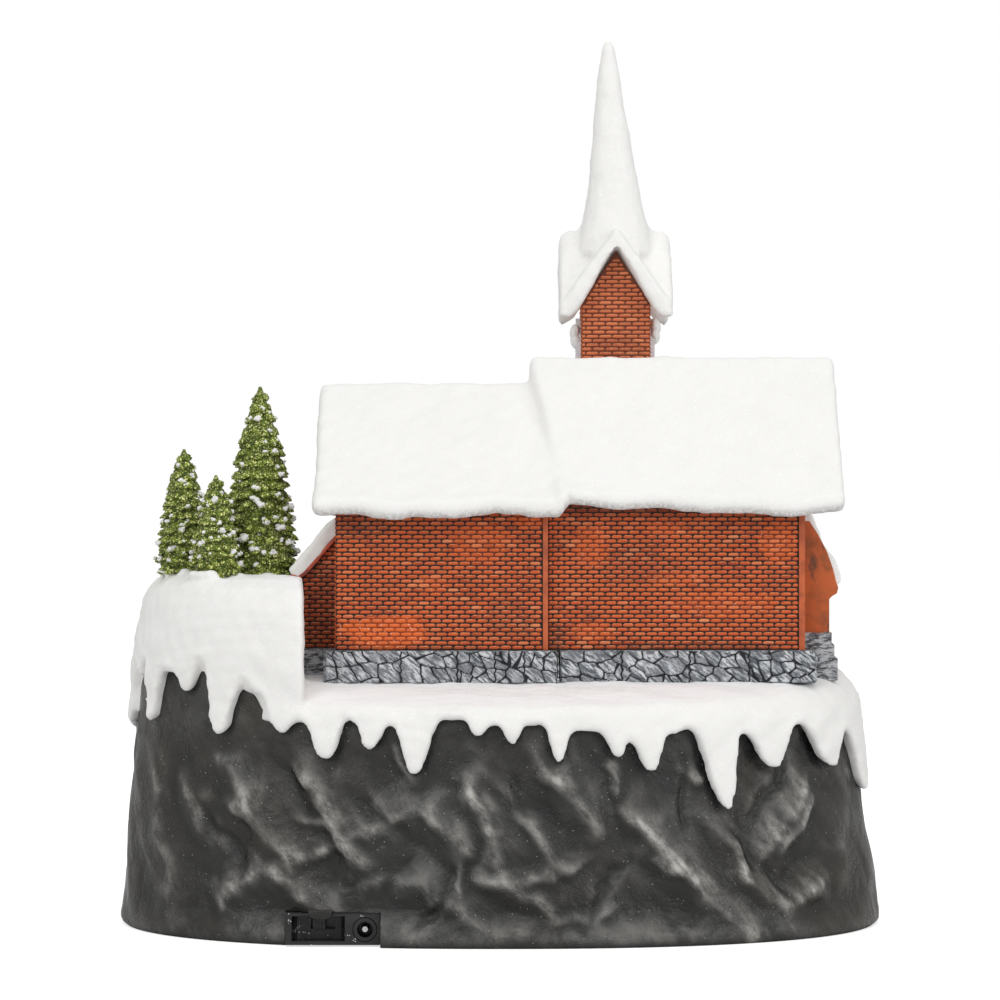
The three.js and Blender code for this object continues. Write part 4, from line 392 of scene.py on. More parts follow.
def softened(meshes, grain, rounds, waviness, seed, wave_size=13, swell=0.0):
    """Joins closed meshes into one even skin, rounds its edges, swells it and lets it wave a little."""
    work = bmesh.new()
    for mesh in meshes:
        work.from_mesh(mesh)
    whole = bpy.data.meshes.new("whole")
    work.to_mesh(whole)
    work.free()
    soft = with_modifiers(whole, ("REMESH", {"mode": "VOXEL", "voxel_size": grain * MM}),
                          ("SMOOTH", {"factor": 0.5, "iterations": rounds}))
    points, normals = mesh_points(soft), mesh_normals(soft)
    wave = soft_noise(points, wave_size, seed) + 0.45 * soft_noise(points, wave_size * 0.37, seed + 1)
    set_points(soft, points + normals * (swell + waviness * wave)[:, None])
    return soft


def node_mesh(name):
    """A copy of a CAD node's mesh."""
    return NODES[name].data.copy()


def box_mesh(low, high, bevel=0.0):
    """A block with softened edges between two corners."""
    work = bmesh.new()
    bmesh.ops.create_cube(work, size=1)
    size = [b - a for a, b in zip(low, high)]
    middle = [(a + b) / 2 for a, b in zip(low, high)]
    for vert in work.verts:
        vert.co = Vector([middle[i] + vert.co[i] * size[i] for i in range(3)])
    if bevel:
        bmesh.ops.bevel(work, geom=work.edges[:], offset=bevel, segments=2, profile=0.6, affect="EDGES")
    points = [v.co.copy() for v in work.verts]
    faces = [[v.index for v in f.verts] for f in work.faces]
    work.free()
    return points, faces


def slab_mesh(outline, axis, low, high, bevel=0.0):
    """An outline pushed along Y (outline in X, Z) or X (outline in Y, Z), with softened edges."""
    work = bmesh.new()
    count = len(outline)
    if axis == "y":
        near = [work.verts.new((u, low, v)) for u, v in outline]
        far = [work.verts.new((u, high, v)) for u, v in outline]
    else:
        near = [work.verts.new((low, u, v)) for u, v in outline]
        far = [work.verts.new((high, u, v)) for u, v in outline]
    work.faces.new(near)
    work.faces.new(far[::-1])
    for i in range(count):
        work.faces.new((near[i], far[i], far[(i + 1) % count], near[(i + 1) % count]))
    bmesh.ops.recalc_face_normals(work, faces=work.faces)
    if bevel:
        rim = [e for e in work.edges if e.calc_face_angle(0) > 0.5]
        bmesh.ops.bevel(work, geom=rim, offset=bevel, segments=2, profile=0.6, affect="EDGES")
    work.verts.index_update()
    points = [v.co.copy() for v in work.verts]
    faces = [[v.index for v in f.verts] for f in work.faces]
    work.free()
    return points, faces


def merged(parts):
    """Several (points, faces) pairs as one."""
    points, faces = [], []
    for part_points, part_faces in parts:
        start = len(points)
        points.extend(tuple(p) for p in part_points)
        faces.extend([start + i for i in face] for face in part_faces)
    return points, faces


def show_parts(name, parts, finish_name):
    """Shows several (points, faces) pairs as one piece with crisp edges."""
    return show(name, make_mesh(name, *merged(parts)), MATERIALS[finish_name], sharp=40)


def blob(centre, radii, seed, roughness=0.16, rings=7, sides=10):
    """A lumpy closed ball of snow."""
    rng = np.random.default_rng(seed)
    phases = rng.uniform(0, 2 * math.pi, 6)
    points = []
    for i in range(rings):
        tilt = math.pi * (i + 0.5) / rings
        for j in range(sides):
            turn = 2 * math.pi * j / sides
            swell = 1 + roughness * (math.sin(3 * turn + phases[0]) * math.sin(2 * tilt + phases[1])
                                     + 0.6 * math.sin(5 * turn + phases[2] + 3 * tilt))
            points.append((centre[0] + radii[0] * math.sin(tilt) * math.cos(turn) * swell,
                           centre[1] + radii[1] * math.sin(tilt) * math.sin(turn) * swell,
                           centre[2] + radii[2] * math.cos(tilt) * swell))
    return points, capped_faces(rings, sides)


# Shader trees

class Tree:
    """Short calls that add nodes to a shader tree."""

    def __init__(self, tree):
        self.tree = tree

    def put(self, kind, inputs=None, **values):
        node = self.tree.nodes.new(kind)
        for key, value in values.items():
            setattr(node, key, value)
        for key, value in (inputs or {}).items():
            self.give(value, node.inputs[key])
        return node

    def give(self, value, socket):
        """Links or sets an input; a colour may be three numbers."""
        if isinstance(value, bpy.types.NodeSocket):
            self.tree.links.new(value, socket)
        elif socket.type == "RGBA":
            socket.default_value = (*value, 1)
        else:
            socket.default_value = value

    def place(self):
        return self.put("ShaderNodeTexCoord").outputs["Object"]

    def math(self, operation, first, second=0.0, clamp=False):
        node = self.put("ShaderNodeMath", {0: first, 1: second}, operation=operation, use_clamp=clamp)
        return node.outputs[0]

    def times(self, first, second):
        return self.math("MULTIPLY", first, second)

    def part(self, axis):
        """One coordinate of the place on the object."""
        return self.put("ShaderNodeSeparateXYZ", {0: self.place()}).outputs[axis]

    def stretched(self, scale, rotation=(0.0, 0.0, 0.0), vector=None):
        """The place on the object, turned and stretched, so that a noise runs in strokes."""
        values = {"Vector": vector or self.place(), "Rotation": rotation, "Scale": scale}
        return self.put("ShaderNodeMapping", values).outputs[0]

    def mottled(self, colour, dark, scale, amount):
        return self.effect("mottled paint", Colour=colour, Dark=dark, Scale=scale, Amount=amount)["Colour"]

    def grain(self, scale, coarse):
        return self.effect("fine grain", Scale=scale, Coarse=coarse)["Height"]

    def noise(self, scale, detail=2.0, roughness=0.5, vector=None, distortion=0.0):
        values = {"Vector": vector or self.place(), "Scale": scale, "Detail": detail, "Roughness": roughness,
                  "Distortion": distortion}
        return self.put("ShaderNodeTexNoise", values).outputs["Fac"]

    def range(self, value, low, high, to_low=0.0, to_high=1.0, smooth=True):
        kind = "SMOOTHSTEP" if smooth else "LINEAR"
        values = {"Value": value, "From Min": low, "From Max": high, "To Min": to_low, "To Max": to_high}
        return self.put("ShaderNodeMapRange", values, interpolation_type=kind).outputs[0]

    def mix(self, share, first, second, blend="MIX"):
        node = self.put("ShaderNodeMix", data_type="RGBA", blend_type=blend, clamp_factor=True)
        for socket, value in ((node.inputs[0], share), (node.inputs[6], first), (node.inputs[7], second)):
            self.give(value, socket)
        return node.outputs[2]

    def attribute(self, key):
        return self.put("ShaderNodeAttribute", attribute_name=key).outputs["Fac"]

    def effect(self, group, **inputs):
        node = self.put("ShaderNodeGroup", node_tree=bpy.data.node_groups[group])
        for key, value in inputs.items():
            self.give(value, node.inputs[key])
        return node.outputs

    def bump(self, height, distance, strength=1.0):
        return self.put("ShaderNodeBump", {"Height": height, "Strength": strength, "Distance": distance}
                        ).outputs["Normal"]


def new_group(name, inputs, outputs):
    """An empty shader group with named sockets; colours are given as three numbers, values as one."""
    group = bpy.data.node_groups.new(name, "ShaderNodeTree")
    kinds = {"colour": "NodeSocketColor", "value": "NodeSocketFloat", "vector": "NodeSocketVector"}
    for label, kind, default in inputs:
        socket = group.interface.new_socket(name=label, in_out="INPUT", socket_type=kinds[kind])
        socket.default_value = (*default, 1) if kind == "colour" else default
    for label, kind in outputs:
        group.interface.new_socket(name=label, in_out="OUTPUT", socket_type=kinds[kind])
    tree = Tree(group)
    return tree, group.nodes.new("NodeGroupInput").outputs, group.nodes.new("NodeGroupOutput").inputs


def build_effects():
    """Shared effects: mottled paint, fine grain, glitter specks and ragged paint patches, among them the
    brick walls' dark stains and painted shadow.
    """
    tree, given, out = new_group("mottled paint", [("Colour", "colour", (0.5, 0.5, 0.5)),
                                                   ("Dark", "colour", (0, 0, 0)),
                                 ("Scale", "value", 60.0), ("Amount", "value", 0.4)], [("Colour", "colour")])
    cloud = tree.noise(given["Scale"], 4, 0.62)
    share = tree.times(tree.range(cloud, 0.42, 0.68), given["Amount"])
    tree.give(tree.mix(share, given["Colour"], given["Dark"]), out["Colour"])

    tree, given, out = new_group("fine grain", [("Scale", "value", 900.0), ("Coarse", "value", 180.0)],
                                 [("Height", "value")])
    fine = tree.noise(given["Scale"], 3, 0.6)
    coarse = tree.noise(given["Coarse"], 3, 0.5)
    tree.give(tree.math("ADD", tree.times(fine, 0.45), coarse), out["Height"])

    tree, given, out = new_group("glitter specks", [("Scale", "value", 1500.0), ("Share", "value", 0.1)],
                                 [("Speck", "value"), ("Shade", "value")])
    flake = tree.put("ShaderNodeTexVoronoi", {"Vector": tree.place(), "Scale": given["Scale"]})
    tone = tree.put("ShaderNodeSeparateColor", {"Color": flake.outputs["Color"]})
    near = tree.range(flake.outputs["Distance"], 0.5, 0.3)
    chosen = tree.math("LESS_THAN", tone.outputs["Red"], given["Share"])
    tree.give(tree.times(near, chosen), out["Speck"])
    tree.give(tone.outputs["Green"], out["Shade"])

    tree, given, out = new_group("paint patch", [("Place", "vector", (0, 0, 0)),
                                                 ("Middle", "vector", (0, 0, 0)),
                                 ("Reach", "vector", (1, 1, 1)), ("Ragged", "value", 0.5)],
                                 [("Mask", "value")])
    offset = tree.put("ShaderNodeVectorMath", {0: given["Place"], 1: given["Middle"]}, operation="SUBTRACT")
    scaled = tree.put("ShaderNodeVectorMath", {0: offset.outputs[0], 1: given["Reach"]}, operation="DIVIDE")
    length = tree.put("ShaderNodeVectorMath", {0: scaled.outputs[0]}, operation="LENGTH").outputs["Value"]
    edge = tree.math("ADD", length, tree.times(given["Ragged"], 1.9))
    tree.give(tree.range(edge, 1.92, 1.76), out["Mask"])

    tree, given, out = new_group("brick patches", [], [("Wash", "value"), ("Stain_and_shade", "value")])
    spot = tree.place()
    flat = tree.stretched((0.7, 1.0, 1.5))
    ragged = tree.noise(95.0, 6, 0.8, vector=flat)
    tree.give(patch_sum(tree, spot, ragged, WASH_PATCHES), out["Wash"])
    stain_and_shade = patch_sum(tree, spot, ragged, STAIN_AND_SHADE_PATCHES)
    height = tree.part("Z")
    # A dark band at the top of the walls, under the eaves: painted shadow
    eave = tree.times(tree.range(height, 0.1495, 0.1535), tree.range(height, 0.19, 0.17))
    cloud = tree.range(tree.noise(60.0, 4, 0.7), 0.54, 0.74, 0, 0.5)
    patchy = tree.range(tree.noise(900.0, 3, 0.7), 0.36, 0.6, 0.35, 1.0)
    stain_and_shade = tree.times(tree.math("MAXIMUM", tree.times(stain_and_shade, 0.8), cloud), patchy)
    total = tree.math("MAXIMUM", stain_and_shade, tree.times(eave, 0.85))
    tree.give(total, out["Stain_and_shade"])


# Bright washes of the brick walls, and dark patches that are partly stains and partly painted shade, beside
# the chapel's corner and under the steeple: middle X and Z, reach in X and Z, strength
WASH_PATCHES = ((-41.6, 108.4, 17, 7, 1), (-7.2, 141, 11, 8, 0.45), (101, 141, 7.5, 8, 0.6),
                (81, 118.5, 20, 6, 0.45), (33, 108.5, 9, 4, 0.5), (33, 140, 7, 9, 0.5),
                (10.8, 150, 7, 4.5, 0.6), (-24, 126, 6, 4, 0.4), (60, 146, 8, 3, 0.4), (64, 128, 12, 3, 0.35))
STAIN_AND_SHADE_PATCHES = ((20, 106, 4, 7, 1), (2.7, 113, 10, 11, 0.6), (-50, 147, 13, 6, 0.7), (70, 103.6, 34, 1.6, 1),
                (50, 132, 16, 7, 0.5), (-66, 118, 6, 24, 0.8), (44, 214, 12, 4, 0.6),
                (-30, 103.4, 28, 1.2, 0.7))


def patch_sum(tree, spot, ragged, patches):
    """The strongest of several ragged paint patches."""
    total = None
    for x, z, reach_x, reach_z, strength in patches:
        mask = tree.effect("paint patch", Place=spot, Middle=(x * MM, 0, z * MM),
                           Reach=(reach_x * MM, 1, reach_z * MM), Ragged=ragged)["Mask"]
        mask = tree.times(mask, strength)
        total = mask if total is None else tree.math("MAXIMUM", total, mask)
    return total


def finish(name, build, roughness=0.6, **values):
    """A material whose Principled shader gets constants here and its varying inputs from build."""
    material = bpy.data.materials.new(name)
    material.use_nodes = True
    shader = material.node_tree.nodes["Principled BSDF"]
    shader.inputs["Roughness"].default_value = roughness
    for key, value in values.items():
        shader.inputs[key.replace("_", " ")].default_value = value
    tree = Tree(material.node_tree)
    for key, socket in build(tree).items():
        material.node_tree.links.new(socket, shader.inputs[key.replace("_", " ")])
    return material


MATERIALS = {}


def build_materials(scene):
    """Every finish of the church."""
    rock, snow, brick = scene.church_rock, scene.church_snow, scene.church_brick
    stone, fir = scene.church_stone, scene.church_fir

    def rock_paint(tree):
        crest, hollow_shade, rim = tree.attribute("crest"), tree.attribute("hollow_shade"), tree.attribute("rim")
        base = tree.mottled(tuple(rock.colour), (0.012, 0.0115, 0.011), 38.0, 0.8)
        from_middle = tree.math("ABSOLUTE", tree.part("X"))
        ends = tree.range(from_middle, 0.06, 0.12, 0.15, 0.85)
        cloud = tree.range(tree.noise(70.0, 5, 0.7, distortion=0.5), 0.36, 0.66)
        # Facets that face the light get a paler grey: painted light, weaker towards the ends of the foot
        lit_facets = tree.times(tree.range(tree.attribute("lit"), 0.3, 1.0, smooth=False), cloud)
        lit_facets = tree.times(lit_facets, tree.math("SUBTRACT", 1.0, tree.times(ends, 0.6)))
        base = tree.mix(lit_facets, base, (0.12, 0.118, 0.11))
        # The top of the rock, under the snow's arches, is painted paler: painted light
        arch = tree.times(tree.range(tree.part("Z"), 0.052, 0.078, 0, 0.5), cloud)
        base = tree.mix(arch, base, (0.085, 0.084, 0.08))
        brown = tree.times(tree.range(tree.noise(21.0, 3, 0.6), 0.45, 0.64), ends)
        base = tree.mix(brown, base, (0.034, 0.026, 0.015))
        base = tree.mix(tree.range(from_middle, 0.095, 0.125, 0, 0.6), base, (0.017, 0.0145, 0.01))
        turned = tree.stretched((1.0, 1.0, 1.0), (0.0, -0.9, 0.0))
        along = tree.stretched((0.5, 1.0, 1.1), vector=turned)
        stroke = tree.range(tree.noise(260.0, 5, 0.72, vector=along), 0.34, 0.66, 0.2, 1.0)
        # Pale paint on the crests: partly dry brush, partly painted highlight
        painted = tree.math("MULTIPLY", tree.math("POWER", crest, 1.2), stroke, clamp=True)
        colour = tree.mix(painted, base, tuple(rock.brush_colour))
        # Near black in the pits and creases: painted shade
        colour = tree.mix(tree.times(hollow_shade, 0.75), colour, (0.008, 0.008, 0.0075))
        # Near black on the rock just under the snow's lower edge: painted shadow under the snow's lip
        colour = tree.mix(rim, colour, (0.006, 0.006, 0.006))
        speck = tree.effect("glitter specks", Scale=2100.0, Share=0.006)
        colour = tree.mix(tree.times(speck["Speck"], 0.6), colour, (0.5, 0.49, 0.46))
        rough = tree.range(tree.noise(90.0, 4, 0.6), 0.35, 0.7, 0.26, 0.46)
        folds = tree.math("ABSOLUTE", tree.math("SUBTRACT", tree.noise(85.0, 4, 0.6, distortion=0.7), 0.5))
        grain = tree.grain(1300.0, 170.0)
        height = tree.math("ADD", grain, tree.times(folds, 3.0))
        return {"Base Color": colour, "Roughness": rough, "Normal": tree.bump(height, 0.0008, 0.75)}

    def snow_paint(tint=0.0):
        def build(tree):
            base = tree.mottled(tuple(snow.colour), (0.78, 0.775, 0.75), 90.0, 0.22)
            # Grey along the lower edges and undersides of the snow: partly icy grey, partly painted shade
            if tint:
                ice_and_shade = tree.range(tree.noise(700.0, 3, 0.7), 0.35, 0.6, 0.35, 1.0)
                edge = tree.times(tree.attribute("edge"), ice_and_shade)
                base = tree.mix(tree.times(edge, tint), base, (0.46, 0.45, 0.44))
            # Up-facing snow is painted whiter: painted light from above
            base = tree.mix(tree.attribute("flat"), base, (0.96, 0.965, 0.965))
            glitter = tree.effect("glitter specks", Scale=1700.0, Share=0.08)
            base = tree.mix(tree.times(glitter["Speck"], 0.35), base, (0.7, 0.7, 0.69))
            spark = tree.effect("glitter specks", Scale=1500.0, Share=0.05)
            base = tree.mix(tree.times(spark["Speck"], 0.85), base, (0.97, 0.97, 0.965))
            rough = tree.range(spark["Speck"], 0.0, 1.0, 0.72, 0.22)
            grain = tree.grain(1500.0, 420.0)
            return {"Base Color": base, "Roughness": rough, "Normal": tree.bump(grain, 0.00022, 0.5)}
        return build

    def brickwork(is_brick):
        def build(tree):
            patches = tree.effect("brick patches")
            wash, stain_and_shade = patches["Wash"], patches["Stain_and_shade"]
            if is_brick:
                tone, upper = tree.attribute("tone"), tree.attribute("upper")
                colour = tree.mix(tree.range(tone, 0.3, 1.0, 0.0, 0.8), tuple(brick.colour),
                                  (0.3, 0.05, 0.02))
                colour = tree.mix(tree.range(tone, 0.12, 0.0, 0.0, 0.75), colour, (0.76, 0.27, 0.12))
                colour = tree.mix(tree.range(tree.noise(75.0, 3, 0.6), 0.46, 0.6, 0, 0.6), colour,
                                  (0.66, 0.13, 0.034))
                high = tree.part("Z")
                colour = tree.mix(tree.range(high, 0.185, 0.2, 0, 0.5), colour, (0.72, 0.24, 0.11))
                colour = tree.mix(tree.times(wash, 0.75), colour, tuple(brick.wash_colour))
                # Dark stains, and painted shadow under the eaves and beside the chapel's corner
                colour = tree.mix(tree.times(stain_and_shade, 0.8), colour, (0.085, 0.03, 0.022))
                # Dark lower part and pale top edge of every brick: painted shade and painted highlight, as if
                # lit from above
                shade = tree.math("SUBTRACT", 0.62, tree.times(wash, 0.4))
                colour = tree.mix(tree.times(tree.range(upper, 0.42, 0.08), shade), colour,
                                  (0.14, 0.016, 0.008))
                sheen = tree.times(tree.range(upper, 0.7, 0.95),
                                  tree.range(tree.noise(1200.0, 3, 0.7), 0.38, 0.62, 0.1, 1.0))
                colour = tree.mix(sheen, colour, (0.88, 0.35, 0.17))
            else:
                wet = tree.times(wash, tree.range(tree.noise(1500.0, 3, 0.7), 0.38, 0.5, 0.1, 1.0))
                colour = tree.mix(tree.range(tree.noise(300.0, 4, 0.6), 0.42, 0.66),
                                  tuple(brick.mortar_colour), (0.055, 0.04, 0.03))
                colour = tree.mix(tree.times(wet, 0.75), colour, (0.5, 0.085, 0.02))
                high = tree.part("Z")
                colour = tree.mix(tree.range(high, 0.185, 0.2, 0, 0.5), colour, (0.3, 0.08, 0.04))
            speck = tree.effect("glitter specks", Scale=1700.0, Share=0.035)["Speck"]
            colour = tree.mix(tree.times(speck, tree.times(wash, 0.9)), colour,
                              (0.85, 0.62, 0.5))
            grain = tree.grain(2200.0, 700.0)
            rough = tree.range(tree.noise(260.0, 3, 0.6), 0.3, 0.7, 0.45, 0.7)
            return {"Base Color": colour, "Roughness": rough, "Normal": tree.bump(grain, 0.00012, 0.5)}
        return build

    def plaster(tree):
        colour = tree.mottled((0.54, 0.12, 0.035), (0.27, 0.08, 0.03), 120.0, 0.85)
        streak = tree.stretched((1.0, 1.0, 0.3))
        stain = tree.range(tree.noise(230.0, 4, 0.65, vector=streak), 0.56, 0.72, 0, 0.8)
        colour = tree.mix(stain, colour, (0.07, 0.05, 0.035))
        colour = tree.mix(tree.range(tree.noise(60.0, 2, 0.5), 0.55, 0.75, 0, 0.6), colour,
                          tuple(brick.wash_colour))
        return ledge_finish(tree, colour, 0.1042)

    def ledge_finish(tree, colour, height):
        """Below this height the wall turns into dark, dry-brushed stone ledges."""
        level = tree.part("Z")
        jitter = tree.times(tree.math("SUBTRACT", tree.noise(300.0, 2, 0.5), 0.5), 0.0016)
        low = tree.range(tree.math("ADD", level, jitter), height + 0.0042, height + 0.0034)
        streak = tree.stretched((0.5, 0.5, 1.6), (0.5, 0.4, 0.3))
        pale = tree.range(tree.noise(520.0, 4, 0.75, vector=streak), 0.4, 0.58)
        ledge = tree.mix(pale, (0.07, 0.07, 0.075), (0.5, 0.51, 0.53))
        return {"Base Color": tree.mix(low, colour, ledge),
                "Normal": tree.bump(tree.noise(900.0, 4, 0.7), 0.0003, 0.6)}

    def annex_brick(tree):
        inputs = brickwork(False)(tree)
        return ledge_finish(tree, inputs["Base Color"], 0.0984)

    def stonework(tree):
        crevice, tone = tree.attribute("crevice"), tree.attribute("tone")
        base = tree.mix(tone, tuple(stone.colour), (0.19, 0.2, 0.22))
        turned = tree.stretched((1.0, 1.0, 1.0), (0.0, -0.7, 0.0))
        streak = tree.stretched((0.3, 1.0, 1.5), vector=turned)
        stroke = tree.range(tree.noise(700.0, 5, 0.72, vector=streak), 0.45, 0.55)
        cloud = tree.range(tree.noise(170.0, 3, 0.6), 0.36, 0.6, 0.3, 1.0)
        mask = tree.times(tree.times(tree.math("SUBTRACT", 1.0, crevice), stroke), cloud)
        colour = tree.mix(tree.times(mask, 0.9), base, tuple(stone.brush_colour))
        colour = tree.mix(tree.range(crevice, 0.2, 0.7), colour, (0.016, 0.017, 0.02))
        grain = tree.grain(2000.0, 600.0)
        return {"Base Color": colour, "Roughness": tree.range(stroke, 0, 1, 0.62, 0.48),
                "Normal": tree.bump(grain, 0.0003, 0.7)}

    def plain_stone(tree):
        pale = tree.range(tree.noise(420.0, 5, 0.75), 0.44, 0.64)
        colour = tree.mix(pale, tuple(stone.colour), tuple(stone.brush_colour))
        colour = tree.mix(tree.range(tree.noise(160.0, 3, 0.6), 0.55, 0.72, 0, 0.8), colour,
                          (0.02, 0.021, 0.026))
        return {"Base Color": colour, "Normal": tree.bump(tree.noise(1100.0, 4, 0.7), 0.00025, 0.6)}

    def fir_paint(tree):
        flakes = tree.effect("glitter specks", Scale=1500.0, Share=0.7)
        sparks = tree.effect("glitter specks", Scale=1150.0, Share=0.42)
        base = tree.mottled(tuple(fir.colour), (0.02, 0.035, 0.004), 420.0, 0.9)
        flake = tree.mix(flakes["Shade"], (0.44, 0.58, 0.04), tuple(fir.glitter_colour))
        base = tree.mix(tree.times(flakes["Speck"], 0.95), base, flake)
        base = tree.mix(sparks["Speck"], base, (1.0, 1.0, 0.42))
        # Darker deep inside the tree, towards its core: painted shade
        base = tree.mix(tree.times(tree.attribute("depth"), 0.7), base, (0.016, 0.035, 0.004))
        return {"Base Color": base, "Roughness": tree.range(flakes["Speck"], 0, 1, 0.6, 0.22),
                "Normal": tree.bump(tree.noise(1900.0, 3, 0.7), 0.0007, 0.9)}

    def trim_paint(tree):
        colour = tree.mottled((0.86, 0.9, 0.95), (0.68, 0.73, 0.79), 260.0, 0.5)
        return {"Base Color": colour, "Normal": tree.bump(tree.noise(1200.0, 3, 0.6), 0.00015, 0.5)}

    def fascia_paint(tree):
        colour = tree.mottled((0.52, 0.085, 0.035), (0.18, 0.035, 0.02), 300.0, 0.8)
        return {"Base Color": colour, "Normal": tree.bump(tree.noise(1300.0, 3, 0.6), 0.00018, 0.5)}

    def door_paint(tree):
        lines = tree.noise(700.0, 4, 0.65, vector=tree.stretched((3.0, 3.0, 0.28)))
        colour = tree.mix(tree.range(lines, 0.35, 0.68), (0.055, 0.024, 0.012), (0.17, 0.072, 0.032))
        return {"Base Color": colour, "Roughness": tree.range(lines, 0.3, 0.7, 0.4, 0.62),
                "Normal": tree.bump(lines, 0.00022, 0.7)}

    def pane_paint(tree):
        cell = tree.put("ShaderNodeTexVoronoi", {"Vector": tree.place(), "Scale": 420.0}).outputs["Color"]
        tone = tree.put("ShaderNodeSeparateColor", {"Color": cell}).outputs["Red"]
        colour = tree.mix(tone, (0.82, 0.5, 0.12), (0.9, 0.68, 0.26))
        return {"Base Color": colour, "Normal": tree.bump(tree.noise(380.0, 2, 0.5), 0.0002, 0.4)}

    def black_plastic(grain_depth, pale=0.0):
        def build(tree):
            colour = tree.mix(tree.range(tree.noise(140.0, 3, 0.6), 0.4, 0.7), (0.013, 0.013, 0.014),
                              (0.024, 0.024, 0.026))
            if pale:
                dust = tree.effect("glitter specks", Scale=1500.0, Share=0.035)
                colour = tree.mix(tree.times(dust["Speck"], pale), colour, (0.6, 0.6, 0.58))
            rough = tree.range(tree.noise(900.0, 2, 0.6), 0.3, 0.7, 0.3, 0.46)
            return {"Base Color": colour, "Roughness": rough,
                    "Normal": tree.bump(tree.noise(2600.0, 3, 0.6), grain_depth, 0.6)}
        return build

    def steel(dark, pale):
        def build(tree):
            brush = tree.noise(2500.0, 3, 0.6, vector=tree.stretched((0.1, 1.0, 1.0)))
            return {"Base Color": tree.mix(tree.range(brush, 0.3, 0.7), dark, pale),
                    "Roughness": tree.range(brush, 0.3, 0.7, 0.22, 0.4)}
        return build

    def board(tree):
        weave = tree.noise(900.0, 2, 0.5)
        return {"Base Color": tree.mix(tree.range(weave, 0.35, 0.65), (0.02, 0.11, 0.035),
                                       (0.032, 0.16, 0.05)),
                "Roughness": tree.range(weave, 0.3, 0.7, 0.3, 0.5)}

    def lamp(tree):
        return {"Base Color": tree.mix(tree.noise(300.0), (1.0, 0.9, 0.66), (1.0, 0.95, 0.8))}

    def lead(tree):
        return {"Base Color": tree.mix(tree.range(tree.noise(400.0), 0.4, 0.6), (0.34, 0.02, 0.015),
                                       (0.42, 0.035, 0.025))}

    bright_steel = steel((0.55, 0.56, 0.57), (0.72, 0.73, 0.74))
    dark_steel = steel((0.03, 0.03, 0.032), (0.06, 0.06, 0.062))
    MATERIALS.update({
        "rock": finish("rock paint", rock_paint, Specular_IOR_Level=0.42),
        "snow": finish("snow paint", snow_paint(), 0.72, Specular_IOR_Level=0.35),
        # Snow with grey lower edges: icy grey and painted shade
        "eave snow": finish("eave snow", snow_paint(0.85), 0.72, Specular_IOR_Level=0.35),
        "brick": finish("brick paint", brickwork(True), 0.55, Specular_IOR_Level=0.22),
        "mortar": finish("mortar paint", brickwork(False), 0.6, Specular_IOR_Level=0.15),
        "plaster": finish("plaster paint", plaster, 0.55, Specular_IOR_Level=0.25),
        "annex": finish("annex paint", annex_brick, 0.6, Specular_IOR_Level=0.15),
        "stone": finish("stone paint", stonework, 0.5, Specular_IOR_Level=0.25),
        "plain stone": finish("plain stone", plain_stone, 0.6),
        "fir": finish("fir glitter", fir_paint, 0.5),
        "trim": finish("trim paint", trim_paint, 0.5),
        "fascia": finish("fascia paint", fascia_paint, 0.5),
        "door": finish("door paint", door_paint, 0.5),
        "pane": finish("window pane", pane_paint, 0.25, Transmission_Weight=0.25),
        "black": finish("black plastic", black_plastic(0.00006), 0.38),
        "dusty black": finish("dusty black plastic", black_plastic(0.00008, 0.8), 0.38),
        "steel": finish("nickel-plated steel", bright_steel, 0.3, Metallic=1.0),
        "dark steel": finish("blackened steel", dark_steel, 0.3, Metallic=1.0),
        "board": finish("circuit board", board, 0.4),
        "lamp": finish("lamp resin", lamp, 0.15, Transmission_Weight=0.4),
        "lead": finish("lead sheath", lead, 0.45),
    })


# Rock foot

def crumple(rng, length, height, spacing):
    """Depths between 0 and 1 on a 1 mm grid round the foot: flat facets between random slanting creases."""
    slant, stretch = 0.62, 1.7
    count = int(length * height / spacing ** 2)
    places = np.column_stack([rng.uniform(0, length, count), rng.uniform(-12, height + 12, count)])
    values = rng.beta(1.3, 1.3, count)
    wrapped = np.vstack([places + (shift, 0) for shift in (-length, 0, length)])
    depths = np.concatenate([values] * 3)
    keep = (wrapped[:, 0] > -60) & (wrapped[:, 0] < length + 60)
    wrapped, depths = wrapped[keep], depths[keep]
    skewed = np.column_stack([wrapped[:, 0] + slant * wrapped[:, 1], wrapped[:, 1] / stretch])
    result = delaunay_2d_cdt([Vector(p) for p in skewed], [], [], 0, 0.0001)
    columns, rows = int(length), int(height) + 1
    field = np.zeros((columns, rows))
    corners = np.array([(v[0] - slant * v[1] * stretch, v[1] * stretch) for v in result[0]])
    source = np.array([depths[origin[0]] for origin in result[3]])
    for triangle in result[2]:
        p, d = corners[list(triangle)], source[list(triangle)]
        low = np.maximum(np.floor(p.min(0)).astype(int), 0)
        high = np.minimum(np.ceil(p.max(0)).astype(int) + 1, (columns, rows))
        if (high <= low).any():
            continue
        gu, gz = np.meshgrid(np.arange(low[0], high[0]), np.arange(low[1], high[1]), indexing="ij")
        area = (p[1, 0] - p[0, 0]) * (p[2, 1] - p[0, 1]) - (p[2, 0] - p[0, 0]) * (p[1, 1] - p[0, 1])
        if abs(area) < 1e-6:
            continue
        a = ((gu - p[0, 0]) * (p[2, 1] - p[0, 1]) - (p[2, 0] - p[0, 0]) * (gz - p[0, 1])) / area
        b = ((p[1, 0] - p[0, 0]) * (gz - p[0, 1]) - (gu - p[0, 0]) * (p[1, 1] - p[0, 1])) / area
        inside = (a >= -1e-6) & (b >= -1e-6) & (a + b <= 1 + 1e-6)
        block = field[low[0]:high[0], low[1]:high[1]]
        block[inside] = (d[0] + a * (d[1] - d[0]) + b * (d[2] - d[0]))[inside]
    return field


